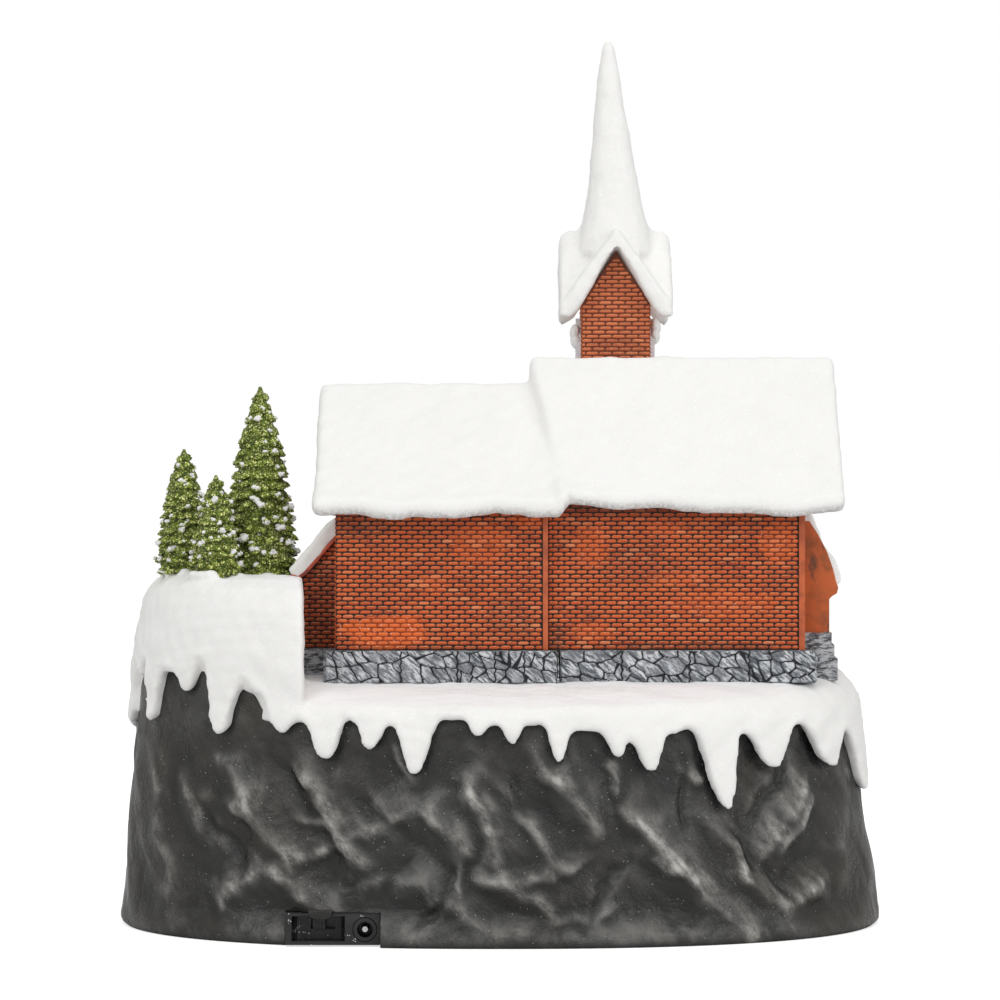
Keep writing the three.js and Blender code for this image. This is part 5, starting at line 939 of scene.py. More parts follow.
def blurred(field, rounds):
    """The field after rounds of averaging with its neighbours; it runs round along its first axis."""
    for _ in range(rounds):
        field = (np.roll(field, 1, 0) + 2 * field + np.roll(field, -1, 0)) / 4
        padded = np.pad(field, ((0, 0), (1, 1)), mode="edge")
        field = (padded[:, :-2] + 2 * field + padded[:, 2:]) / 4
    return field


def tent(x, z, x0, z0, x1, z1, upper, lower, overlap=0.35):
    """A ridge along a segment: 1 on its crest, falling evenly to both sides and softly at both ends."""
    along, side = segment_place(x, z, x0, z0, x1, z1)
    reach = np.where(side > 0, upper, lower)
    ends = ease(-overlap, 0.5 - overlap, along) * (1 - ease(0.5 + overlap, 1 + overlap, along))
    return np.clip(1 - np.abs(side) / reach, 0, 1) * ends, side


def rock_field(turns, length, settings):
    """Depth of the rock face on a 1 mm grid round the foot, with the masks for its paints: dry brush and
    painted highlight on the crests, painted shade in the hollows and under the snow's edge, and painted light
    on the facets that face the light.
    """
    rng = np.random.default_rng(11)
    height = 106
    spacing = settings.facet_size / MM
    large = crumple(rng, length, height, spacing)
    small = crumple(rng, length, height, spacing * 0.45)
    columns, rows = large.shape
    known = np.arange(len(turns)) / len(turns) * length
    turn = np.interp(np.arange(columns) / columns * length, known, turns)[:, None]
    z = np.arange(rows)[None, :]
    toward_right = -np.sign(np.sin(turn)) * np.sign(np.cos(turn))
    place = toward_right * np.abs(np.cos(turn)) ** (2 / FOOT_ROUNDNESS) * FOOT_HALF[0]
    grid = (columns, rows)
    shape = np.column_stack([np.broadcast_to(a, grid).ravel() for a in (place, z, 40 * np.sin(turn))])
    place = place + 2.6 * soft_noise(shape, 24, 12).reshape(grid) * ease(1, 0.85, np.abs(place) / 142)
    z = z + 1.7 * soft_noise(shape, 13, 13).reshape(grid)
    highest, paint, cracks = np.zeros((3, *grid))
    patchy = 0.4 + 0.8 * ease(0.25, 0.75, 1 - small)
    for x0, z0, x1, z1, gentle, steep, weight in MAIN_RIDGES:
        ridge, side = tent(place, z, x0 * FOOT_HALF[0], z0, x1 * FOOT_HALF[0], z1, gentle, steep)
        highest = np.maximum(highest, ridge)
        # Pale paint on the upper, gentle side of each crest: dry brush and painted highlight
        band = ease(-0.9, 0.5, side) * np.exp(-np.clip(side, 0, None) / 3.8) * ease(0.1, 0.6, ridge)
        paint = np.maximum(paint, weight * band * patchy)
    fine = 0.66 * large + 0.34 * small
    for x0, z0, x1, z1, upper, lower, weight in WRINKLES:
        ridge, side = tent(place, z, x0, z0, x1, z1, upper, lower, 0.2)
        fine = fine - 0.85 * ridge
        paint = np.maximum(paint, weight * 0.8 * ease(0.3, 0.9, ridge) * ease(-1, 0.5, side) * patchy)
    for x0, z0, x1, z1, width in CREASES:
        crack = tent(place, z, x0, z0, x1, z1, width, width, 0.2)[0]
        fine = fine + 0.8 * crack
        cracks = np.maximum(cracks, crack)
    z = np.arange(rows)[None, :]
    uneven = 0.82 + 0.18 * np.sin(9 * turn + 0.09 * z) * np.sin(5 * turn - 0.06 * z + 1.3)
    ends = 1 - END_FILL * ease(0.9, 0.985, np.abs(place) / FOOT_HALF[0])
    fade = ease(4.5, 13, z) * (1 - 0.8 * ease(60, 80, z)) * ends
    depth = RIDGE_DEPTH * uneven * (1 - highest) * fade
    fine_fade = ease(1.5, 7, z) * (1 - 0.5 * ease(70, 84, z))
    depth = blurred(depth + np.maximum(fine, -0.6) * settings.facet_depth / MM * fine_fade, 1)
    broad = blurred(depth, 14)
    # Pits and creases, which the paint darkens as painted shade
    pits = (depth - broad) / 1.1 + (depth - blurred(depth, 4)) / 0.3
    rise, along = np.gradient(depth, axis=1), np.gradient(depth, axis=0)
    masks = {"crest": np.clip(blurred(paint, 1) + 0.5 * np.clip((broad - depth) / 0.9, 0, 1) * patchy, 0, 1.1),
             "hollow_shade": np.clip(pits + 0.5 * cracks ** 2, 0, 1),
             # lit: facets that face up and to the left, where painted light goes
             "lit": np.clip(0.28 + 2.9 * rise - 1.7 * along, 0, 1)}
    # Rock just below the snow's edge, where the paint lays a painted shadow
    snow = (z > drip_heights(turn.ravel())[:, None]).astype(float)
    masks["rim"] = ease(0.03, 0.3, blurred(snow, 3))
    return depth, masks


def segment_place(x, z, x0, z0, x1, z1):
    """Share along a segment and distance to its upper side for every grid point."""
    dx, dz = x1 - x0, z1 - z0
    length = math.hypot(dx, dz)
    along = ((x - x0) * dx + (z - z0) * dz) / length ** 2
    side = (-(x - x0) * dz + (z - z0) * dx) / length
    return along, side if dx > 0 else -side


def sample(field, u, z):
    """Values of a 1 mm grid at places between its points; it runs round along its first axis."""
    columns, rows = field.shape
    u = np.mod(u, columns)
    i = np.floor(u).astype(int) % columns
    k = np.clip(np.floor(z).astype(int), 0, rows - 2)
    fu, fz = u - np.floor(u), np.clip(z - k, 0, 1)
    j = (i + 1) % columns
    return ((field[i, k] * (1 - fu) + field[j, k] * fu) * (1 - fz)
            + (field[i, k + 1] * (1 - fu) + field[j, k + 1] * fu) * fz)


def rock_top(turns):
    degrees = np.degrees(turns)
    mound = ease(174, 184, degrees) * (1 - ease(227, 235, degrees))
    return (84 - 2.8 * np.sin(turns) ** 2) * (1 - mound) + 104 * mound


class CHURCH_OT_rock(Operator):
    """Carve the rock foot"""
    bl_idname = "church.rock"
    bl_label = "Carve the rock"

    def execute(self, context):
        columns, rows = 960, 104
        turns, length = even_turns(columns)
        depth, fields = rock_field(turns, length, context.scene.church_rock)
        u = np.arange(columns) / columns * depth.shape[0]
        top = rock_top(turns)
        rings, masks = [], {key: [] for key in fields}
        for share in np.linspace(0, 1, rows):
            z = share * top
            rings.append(foot_surface(turns, z, lerp_list(ROCK_PROFILE, z) + sample(depth, u, z)))
            for key, field in fields.items():
                masks[key].append(sample(field, u, z))
        for z, inset in ((top, lerp_list(ROCK_PROFILE, top) + ROCK_WALL * 0.75),
                         (np.full(columns, 27.0), 7.8), (np.zeros(columns), 7.6)):
            rings.append(foot_surface(turns, z, inset + np.zeros(columns)))
            for values in masks.values():
                values.append(np.zeros(columns))
        mesh = make_mesh("rock_foot", np.concatenate(rings), grid_faces(len(rings), columns, close_rows=True),
                         {key: np.concatenate(values) for key, values in masks.items()})
        cutter = bpy.data.objects.new("notch", make_mesh("notch", *box_mesh(*POWER_NOTCH)))
        context.scene.collection.objects.link(cutter)
        cut = {"object": cutter, "operation": "DIFFERENCE", "solver": "EXACT"}
        carved = with_modifiers(mesh, ("BOOLEAN", cut))
        bpy.data.objects.remove(cutter)
        show("rock_foot", carved, MATERIALS["rock"], replaces=("rock_skirt",), sharp=45)
        tab = [(-67.2, 13), (-66.9, 11), (-65.2, 9.8), (-62.6, 9.5), (-60.4, 9.7), (-58.9, 10.6), (-58.5, 13)]
        tab_points, tab_faces = slab_mesh(tab, "y", -88.4, -86.8, 0.45)
        mesh = make_mesh("rock_tab", tab_points, tab_faces)
        for key in fields:
            add_attribute(mesh, key, np.zeros(len(mesh.vertices)))
        show("rock_tab", mesh, MATERIALS["rock"])
        return {"FINISHED"}


# Snow cap with its drips and mound

def ground_height(y):
    return GROUND_TOP - 11 * (np.abs(y) / 92) ** 1.26


def small_outline(turns, insets, share):
    """The foot's outline, drawn in by two insets and scaled towards the middle."""
    ring = foot_surface(turns, np.full(len(turns), 60.0), 0.0)
    ring[:, 0] = (ring[:, 0] - ROCK_LEAN) / FOOT_HALF[0] * (FOOT_HALF[0] - insets[0]) * share + ROCK_LEAN
    ring[:, 1] = ring[:, 1] / FOOT_HALF[1] * (FOOT_HALF[1] - insets[1]) * share
    return ring


def snow_drape():
    """The snow field and its hanging edge, as one thick closed skin."""
    columns = 900
    turns, _ = even_turns(columns)
    drip = drip_heights(turns)
    plain = lerp_list(ROCK_PROFILE, 77) - SNOW_LAP
    y = foot_surface(turns, np.full(columns, 90.0), np.full(columns, plain))[:, 1]
    flat = 1 - 0.62 * np.sin(turns) ** 2
    rings = []
    lip = 1.15
    for angle in (-150, -120, -90, -55, -25, 0):
        out = lip * math.cos(math.radians(angle)) + SNOW_LAP - lip - 0.15
        up = lip * (1 + math.sin(math.radians(angle)))
        z = drip + up
        rings.append(foot_surface(turns, z, lerp_list(ROCK_PROFILE, z) - out))
    edge_low = ground_height(y) - GROUND_EDGE[0][0] * flat
    for share in (0.12, 0.3, 0.5, 0.7, 0.85):
        z = (drip + lip) + (np.maximum(edge_low, drip + lip + 2) - drip - lip) * share
        swell = SNOW_LAP + 0.5 * np.sin(share * math.pi)
        rings.append(foot_surface(turns, z, lerp_list(ROCK_PROFILE, z) - swell))
    for drop, inset in GROUND_EDGE:
        z = np.maximum(ground_height(y) - drop * flat, drip + lip + 2.2)
        rings.append(foot_surface(turns, z, plain + inset * flat))
    for share in np.linspace(0.9, 0.08, 11):
        ring = small_outline(turns, (plain + 16, plain + 6), share)
        ring[:, 2] = ground_height(ring[:, 1])
        rings.append(ring)
    for share in (0.08, 0.5, 0.9):
        ring = small_outline(turns, (26, 22), share)
        ring[:, 2] = 84.0 - 3 * share
        rings.append(ring)
    inner = drip + 2.4
    wide = np.maximum(inner, 76.0)
    rings.append(foot_surface(turns, wide, lerp_list(ROCK_PROFILE, wide) + 3))
    rings.append(foot_surface(turns, inner, lerp_list(ROCK_PROFILE, inner) + 2.6))
    points = np.concatenate(rings)
    return make_mesh("drape", points, grid_faces(len(rings), columns, close_rows=True))


def mound_ring(z, inset, columns):
    """Outline of the mound at a height: the foot's, cut by its flank and its front, over the drips."""
    angles = np.linspace(0, 2 * math.pi, columns, endpoint=False)
    c, s = np.cos(angles), np.sin(angles)
    cx, cy = MOUND_CENTRE
    low, high = np.zeros(columns), np.full(columns, 200.0)
    for _ in range(26):
        middle = (low + high) / 2
        px = np.abs(cx - ROCK_LEAN + c * middle) / (FOOT_HALF[0] - inset)
        py = np.abs(cy + s * middle) / (FOOT_HALF[1] - inset)
        inside = px ** FOOT_ROUNDNESS + py ** FOOT_ROUNDNESS < 1
        low, high = np.where(inside, middle, low), np.where(inside, high, middle)
    ex, ey = (cx - ROCK_LEAN + c * low) / (FOOT_HALF[0] - inset), (cy + s * low) / (FOOT_HALF[1] - inset)
    power = FOOT_ROUNDNESS / 2
    turn = np.arctan2(np.sign(ey) * np.abs(ey) ** power, np.sign(ex) * np.abs(ex) ** power)
    edge = drip_heights(np.mod(turn, 2 * math.pi))
    low = np.maximum(low - 11 * (1 - ease(edge + 0.1, edge + 1.3, z)), 2)
    rounding = max(0.0, inset - float(lerp_list(MOUND_PROFILE, 107.6)))
    towards = c + MOUND_SIGHT * s
    flank = -MOUND_SIGHT * (FOOT_CAMERA + cy) - rounding * 0.05 - cx
    front = MOUND_FRONT_Y - max(0.0, z - GROUND_TOP + 6) * 1.25 - cy
    limits = [low, np.where(towards > 0.02, flank / np.maximum(towards, 0.02), 900),
              np.where(s > 0.02, front / np.maximum(s, 0.02), 900)]
    reach = -1.2 * np.log(sum(np.exp(-np.minimum(v, 400) / 1.2) for v in limits))
    x, y = cx + c * reach, cy + s * reach
    x = x - 0.9 * ease(-40, -31, y) * ease(-90, -76, x)
    tilt = lerp_list(MOUND_FALL, x) * ease(112, 129, z)
    return np.column_stack([x, y, np.full(columns, float(z)) + tilt])


def snow_mound():
    upper = [105.5, 107.5, 110, 113, 116, 119, 121, 123, 125, 126.4, 127.6, 128.6, 129.4, 130, 130.5, 130.8,
             131]
    columns = 420
    rings = [mound_ring(z, float(lerp_list(MOUND_PROFILE, z)), columns)
             for z in np.concatenate([np.arange(78, 104.5, 1), upper])]
    top = rings[-1]
    middle = top.mean(0)
    for share in (0.66, 0.33, 0.05):
        ring = middle + (top - middle) * share
        ring[:, 2] = 131 + lerp_list(MOUND_FALL, ring[:, 0])
        rings.append(ring)
    return make_mesh("mound", np.concatenate(rings), capped_faces(len(rings), columns))


class CHURCH_OT_snow(Operator):
    """Lay the snow over the rock, with its drips, its mound and small drifts"""
    bl_idname = "church.snow"
    bl_label = "Lay the snow"

    def execute(self, context):
        settings = context.scene.church_snow
        rng = np.random.default_rng(5)
        parts = [snow_drape(), snow_mound()]
        drifts, around = [], 9
        for _, x, y, radius, foot, _, _ in FIRS:
            for i in range(around):
                turn = 2 * math.pi * i / around + rng.uniform(-0.3, 0.3)
                reach = radius * rng.uniform(0.75, 0.98)
                drifts.append(blob((x + reach * math.cos(turn), y + reach * math.sin(turn), foot + 0.3),
                                   (rng.uniform(1.8, 3.2), rng.uniform(1.8, 2.8), rng.uniform(0.6, 1.5)),
                                   int(rng.integers(1e6))))
        parts.append(make_mesh("drifts", *merged(drifts)))
        mesh = softened(parts, settings.grain / MM, 3, settings.waviness / MM, 21)
        # Up-facing snow, which the snow paint brightens as painted light
        add_attribute(mesh, "flat", ease(0.86, 0.99, mesh_normals(mesh)[:, 2]))
        show("snow_field", mesh, MATERIALS["snow"], replaces=("snow_cap",))
        return {"FINISHED"}


# Bricks

BRICK_SIDES = 10


def brick_points(u0, u1, z0, z1, proud, tilt):
    """One brick with rounded ends and a softened face, as points (u, out, z)."""
    height = z1 - z0
    end = min(0.62 * height, (u1 - u0) * 0.3)
    um, zm = (u0 + u1) / 2, (z0 + z1) / 2
    right = ((u1 - end, z0), (u1 - 0.26 * end, z0 + 0.2 * height), (u1, zm),
             (u1 - 0.26 * end, z1 - 0.2 * height), (u1 - end, z1))
    outline = right + tuple((2 * um - u, 2 * zm - z) for u, z in right)
    rings = []
    for out, shrink in ((-0.12, 0.0), (proud * 0.6, 0.0), (proud, 0.2)):
        for u, z in outline:
            lean = tilt * (u - um) / max(0.4, u1 - u0) if out > 0 else 0
            rings.append((u + 0.12 * (z - zm) - shrink * (u - um) / max(0.6, um - u0), out + lean,
                          z - shrink * (z - zm) / (height / 2)))
    return rings


def brick_faces():
    faces = [list(range(BRICK_SIDES))[::-1], list(range(2 * BRICK_SIDES, 3 * BRICK_SIDES))]
    return faces, np.array(grid_faces(3, BRICK_SIDES))


BRICK_ENDS, BRICK_FACES = brick_faces()


def lay_bricks(name, spans, z_low, z_high, axis, level, outward, settings, seed, pitch=None, course=None):
    """Bricks in running bond on one wall. spans(z0, z1) gives the free stretches of a course."""
    rng = np.random.default_rng(seed)
    pitch = pitch or settings.length / MM
    course = course or settings.course / MM
    proud = settings.proud / MM
    points, faces, tones, uppers = [], [], [], []
    row = 0
    z = z_low
    while z + course * 0.62 < z_high:
        z0, z1 = z + 0.19, z + course - 0.19
        for left, right in spans(z0, z1):
            start = math.floor((left - 200) / pitch) * pitch + (row % 2) * pitch / 2
            u = start + math.ceil((left - start) / pitch - 1) * pitch
            while u < right:
                u0 = max(u + 0.15 + rng.uniform(-0.07, 0.07), left)
                u1 = min(u + pitch - 0.15 + rng.uniform(-0.07, 0.07), right)
                if u1 - u0 > 0.9:
                    base = len(points)
                    brick = brick_points(u0, u1, z0 + rng.uniform(-0.05, 0.05), z1 + rng.uniform(-0.05, 0.05),
                                         proud * rng.uniform(0.75, 1.1), rng.uniform(-0.06, 0.06))
                    points.extend(brick)
                    # Height within each brick, for its painted shade below and painted highlight on top
                    uppers.extend((p[2] - z0) / (z1 - z0) for p in brick)
                    tones.extend([float(rng.beta(1.1, 1.9))] * len(brick))
                    faces.extend((BRICK_FACES + base).tolist())
                    faces.extend([base + i for i in end] for end in BRICK_ENDS)
                u += pitch
        z += course
        row += 1
    placed = on_wall(np.array(points), axis, level, outward)
    mesh = make_mesh(name, placed, faces, {"tone": tones, "upper": uppers})
    return show(name, mesh, MATERIALS["brick"], smooth=False)


def cut_spans(spans, low, high):
    """Free stretches after taking away what lies between two places."""
    kept = []
    for a, b in spans:
        if high <= a or low >= b:
            kept.append((a, b))
            continue
        if a < low:
            kept.append((a, low))
        if high < b:
            kept.append((high, b))
    return [(a, b) for a, b in kept if b - a > 0.9]


def lancet_half(z, sill, width, height):
    """Half width of a pointed opening at a height, 0 outside it."""
    if z < sill or z > sill + height:
        return 0.0
    spring = sill + height - width * 0.85
    if z <= spring:
        return width / 2
    t_values = np.linspace(0, 1, 24)
    control = sill + height - width / 2 * 0.6
    rest = 1 - t_values
    zs = rest ** 2 * spring + 2 * t_values * rest * control + t_values ** 2 * (sill + height)
    us = rest ** 2 * width / 2 + 2 * t_values * rest * width / 2
    return float(np.interp(z, zs, us))


def without_openings(spans, z0, z1, openings):
    for middle, sill, width, height in openings:
        half = max(lancet_half(z0, sill, width, height), lancet_half(z1, sill, width, height))
        if half:
            spans = cut_spans(spans, middle - half, middle + half)
    return spans


class CHURCH_OT_bricks(Operator):
    """Lay the bricks of every wall, course by course"""
    bl_idname = "church.bricks"
    bl_label = "Lay the bricks"

    def execute(self, context):
        settings = context.scene.church_brick
        low = COURSE_TOP + 0.25
        window, nave_window = ([(x, WINDOW_SILL - 0.1, 13, 30.2) for x in places]
                               for places in (CHAPEL_WINDOWS, NAVE_WINDOWS))

        def plain(left, right, openings=()):
            return lambda z0, z1: without_openings([(left, right)], z0, z1, openings)

        walls = (("chapel_rear", CHAPEL["left"], 15.3, (), low, CHAPEL, "rear"),
                 ("nave_rear", NAVE["left"] + 0.1, 108.1, (), low, NAVE, "rear"),
                 ("chapel_front", CHAPEL["left"], CHAPEL["right"], window, low, CHAPEL, "front"),
                 ("nave_front_left", NAVE["left"], 30.8, (), 91.2, NAVE, "front"),
                 ("nave_front_right", 57.2, 108.1, nave_window, low, NAVE, "front"))
        for n, (name, left, right, openings, foot, section, side) in enumerate(walls):
            lay_bricks(f"bricks_{name}", plain(left, right, openings), foot, section["top"], "y",
                       section[side], 1 if side == "front" else -1, settings, 31 + n)

        def gable(section, attach):
            def spans(z0, z1):
                reach = (section["apex"] - z1) / section["slope"] - 0.6
                left = max(section["rear"], RIDGE_Y - reach)
                right = min(section["front"], RIDGE_Y + reach)
                free = [(left, right)] if right > left else []
                return cut_spans(free, ANNEX_Y[0] - 0.3, ANNEX_Y[1] + 0.3) if z0 < attach else free
            return spans

        lay_bricks("bricks_chapel_gable", gable(CHAPEL, 141), low, CHAPEL["apex"], "x", CHAPEL["left"], -1,
                   settings, 36)
        lay_bricks("bricks_nave_gable", gable(NAVE, 144), low, NAVE["apex"], "x", NAVE["right"], 1,
                   settings, 37)

        half, x, y = TOWER["half"], TOWER["x"], TOWER["y"]

        def tower(middle, openings, roof_side):
            def spans(z0, z1):
                reach = min(half, (TOWER["apex"] - z1) / TOWER["slope"] - 0.4)
                free = [(middle - reach, middle + reach)] if reach > 1 else []
                if roof_side == "side" and z0 < 187:
                    edge = 32.4 if z1 < 152 else RIDGE_Y + (208 - z0) / NAVE["slope"]
                    free = cut_spans(free, middle - 20, edge)
                return without_openings(free, z0, z1, openings)
            return spans

        louvre = [(y, 195.8, 13.4, 30.4)]
        front = [(x, 195.8, 13.4, 30.4), (x, 97.8, 13.4, 25.4)]
        bond = {"pitch": 5.0, "course": 1.6}
        faces = (("rear", x, (), "rear", 184, "y", y - half, -1),
                 ("left", y, louvre, "side", 93.4, "x", x - half, -1),
                 ("right", y, louvre, "side", 93.4, "x", x + half, 1),
                 ("front", x, front, "front", 91.6, "y", y + half, 1))
        for n, (side, middle, openings, kind, foot, axis, level, outward) in enumerate(faces):
            lay_bricks(f"bricks_tower_{side}", tower(middle, openings, kind), foot, TOWER["apex"], axis,
                       level, outward, settings, 41 + n, **bond)

        def annex_end(z0, z1):
            under = sorted(LEFT_ROOF_UNDER)
            inner = -59.7
            reach = [u for u in np.linspace(LEFT_ANNEX_X + 0.2, inner, 60) if lerp_list(under, u) - 0.8 > z1]
            return [(min(reach), inner)] if reach else []

        lay_bricks("bricks_annex_rear", annex_end, low, 143, "y", ANNEX_Y[0], -1, settings, 51)
        lay_bricks("bricks_annex_front", annex_end, low, 143, "y", ANNEX_Y[1], 1, settings, 52)
        lay_bricks("bricks_annex_side", plain(*ANNEX_Y), low, 128.2, "x", LEFT_ANNEX_X, -1, settings, 53)
        return {"FINISHED"}


class CHURCH_OT_strips(Operator):
    """Fit the plain painted strips at the corners of the walls"""
    bl_idname = "church.strips"
    bl_label = "Fit the corner strips"

    def execute(self, context):
        parts = [
            box_mesh((15.5, -47.6, COURSE_TOP + 0.1), (17.3, -46.9, 157), 0.2),
            box_mesh((16.9, -47.55, COURSE_TOP + 0.1), (17.35, -44.2, 157), 0.12),
            box_mesh((108.3, -44.6, COURSE_TOP + 0.1), (110.5, -43.9, 159), 0.2),
            box_mesh((109.9, -44.5, COURSE_TOP + 0.1), (110.5, -42.4, 159), 0.15),
            box_mesh((108.3, 31.9, COURSE_TOP + 0.1), (110.5, 32.6, 159), 0.2),
            box_mesh((-59.7, 34.9, COURSE_TOP + 0.1), (-58.2, 35.5, 157), 0.2),
            box_mesh((16.4, 34.9, COURSE_TOP + 0.1), (17.4, 35.6, 157), 0.2),
            box_mesh((16.9, 32.2, COURSE_TOP + 0.1), (17.5, 35.5, 157), 0.15),
        ]
        show_parts("corner_strips", parts, "strip")
        return {"FINISHED"}


# Stone courses

def stone_facing(u0, u1, z0, z1, spacing, seed, joints=()):
    """Carved stones on a fine grid: points (u, out, z), quads, crevice mask and tone of each stone."""
    rng = np.random.default_rng(seed)
    step = 0.36
    columns, rows = max(3, int((u1 - u0) / step)), max(3, int((z1 - z0) / step))
    gu, gz = np.meshgrid(np.linspace(u0, u1, columns), np.linspace(z0, z1, rows))
    count = max(4, int((u1 - u0) * (z1 - z0) / spacing ** 2 * 1.15))
    seeds = np.column_stack([rng.uniform(u0 - 2, u1 + 2, count), rng.uniform(z0 - 2, z1 + 2, count)])
    for _ in range(3):
        for i in range(count):
            away = seeds[i] - seeds
            distance = np.linalg.norm(away, axis=1) + 1e-6
            near = distance < spacing * 0.85
            near[i] = False
            seeds[i] += (away[near] / distance[near][:, None] * 0.35).sum(0)
    warp = soft_noise(np.column_stack([gu.ravel(), gz.ravel(), np.zeros(gu.size)]), 5,
                      seed + 3).reshape(gu.shape)
    pu, pz = gu + 0.5 * gz + 0.5 * warp, gz * 1.25 + 0.35 * warp
    su, sz = seeds[:, 0] + 0.5 * seeds[:, 1], seeds[:, 1] * 1.25
    distance = np.hypot(pu[..., None] - su, pz[..., None] - sz)
    order = np.argsort(distance, axis=-1)
    near = np.take_along_axis(distance, order[..., :2], -1)
    gap = near[..., 1] - near[..., 0]
    for joint in joints:
        gap = np.minimum(gap, np.abs(gu - joint - 0.25 * np.sin(gz * 2)) * 1.6)
    crevice = 1 - ease(0.12, 0.75, gap)
    stone = order[..., 0]
    height = rng.uniform(0.15, 1.0, count)
    tilt_u = rng.normal(0, 0.16, count)
    tilt_z = rng.normal(0, 0.2, count)
    out = 0.85 * ease(0.05, 1.3, gap) * (0.55 + 0.45 * height[stone])
    lean = tilt_u[stone] * (pu - su[stone]) + tilt_z[stone] * (pz - sz[stone])
    out = out + lean * 0.5 * ease(0.1, 1, gap)
    rough = soft_noise(np.column_stack([gu.ravel(), gz.ravel() * 1.7, np.zeros(gu.size)]), 1.6, seed + 7)
    out = np.clip(out + 0.1 * rough.reshape(gu.shape) * (1 - crevice), 0, 1.15)
    rim = np.minimum.reduce([gu - u0, u1 - gu, gz - z0, z1 - gz])
    out = out * ease(0, 0.5, rim) + 0.02
    tone = rng.uniform(0, 1, count)[stone]
    return np.stack([gu, out, gz], -1), crevice, tone


def facing_mesh(name, places, seed_start, spacing):
    """One mesh of several stone facings, each (axis, level, outward, u0, u1, z0, z1, joints)."""
    points, faces, crevices, tones = [], [], [], []
    for n, (axis, level, outward, u0, u1, z0, z1, joints) in enumerate(places):
        grid, crevice, tone = stone_facing(u0, u1, z0, z1, spacing, seed_start + n, joints)
        rows, columns = grid.shape[:2]
        back = grid.copy()
        back[..., 1] = -0.25
        start = len(points)
        flat = np.concatenate([grid.reshape(-1, 3), back.reshape(-1, 3)])
        points.extend(on_wall(flat, axis, level, outward).tolist())
        size = rows * columns
        front = np.array(grid_faces(rows, columns, close_columns=False)) + start
        faces.extend(front.tolist())
        rim = ([c for c in range(columns)] + [r * columns + columns - 1 for r in range(1, rows)]
               + [(rows - 1) * columns + c for c in range(columns - 2, -1, -1)]
               + [r * columns for r in range(rows - 2, 0, -1)])
        for a, b in zip(rim, rim[1:] + rim[:1]):
            faces.append([start + a, start + b, start + size + b, start + size + a])
        faces.append([start + size + i for i in rim])
        crevices.extend(np.concatenate([crevice.ravel(), crevice.ravel()]).tolist())
        tones.extend(np.concatenate([tone.ravel(), tone.ravel()]).tolist())
    mesh = make_mesh(name, points, faces, {"crevice": crevices, "tone": tones}, tidy_normals=False)
    work = bmesh.new()
    work.from_mesh(mesh)
    bmesh.ops.delete(work, geom=[v for v in work.verts if not v.link_faces], context="VERTS")
    bmesh.ops.recalc_face_normals(work, faces=work.faces)
    work.to_mesh(mesh)
    work.free()
    return mesh


class CHURCH_OT_stones(Operator):
    """Carve the stones of the courses at the foot of the walls"""
    bl_idname = "church.stones"
    bl_label = "Carve the stones"

    def execute(self, context):
        spacing = context.scene.church_stone.stone_size / MM
        low, high = SEAT_Z + 0.2, COURSE_TOP - 0.1
        courses = {
            "stones_chapel_rear": [("y", -50.5, -1, -62.9, 20.5, low, high, (-35.8, -15.4, -1.8, 8.7)),
                                   ("x", -62.9, -1, -50.5, -33.9, low, high, (-42,)),
                                   ("x", 20.6, 1, -50.5, -47.4, low, high, ())],
            "stones_nave_rear": [("y", -47.5, -1, 21.9, 113.8, low, high, (44, 68.5, 90)),
                                 ("x", 113.9, 1, -47.5, -33.9, low, high, (-41,))],
            "stones_chapel_front": [("y", 38.5, 1, -62.9, 20.5, low, high, (-38, -8)),
                                    ("x", -62.9, -1, 21.9, 38.5, low, high, (30,))],
            "stones_nave_front": [("y", 35.5, 1, 57.3, 113.8, low, high, (80, 97)),
                                  ("x", 113.9, 1, 21.9, 35.5, low, high, (28,))],
        }
        for n, (name, places) in enumerate(courses.items()):
            mesh = facing_mesh(name, places, 61 + 10 * n, spacing)
            show(name, mesh, MATERIALS["stone"])
        return {"FINISHED"}


# Snow on the roofs and the steeple

def eave_mask(mesh, bin_width=2.0, reach=3.4):
    """1 along the lower edges of a roof's snow, fading upward; the eave snow greys it there as icy grey and
    painted shade.
    """
    points = mesh_points(mesh)
    place = np.round(points[:, 0] / bin_width).astype(int) * 2 + (points[:, 1] > RIDGE_Y)
    place -= place.min()
    low = np.full(place.max() + 1, 1e9)
    np.minimum.at(low, place, points[:, 2])
    above = points[:, 2] - low[place]
    return 1 - ease(0.6, reach, above)


def past_nave_edge(points):
    """Distance in X from the slanting left edge of the nave's roof."""
    return points[:, 0] - 11 - (200 - points[:, 2]) / 48 * 11.6


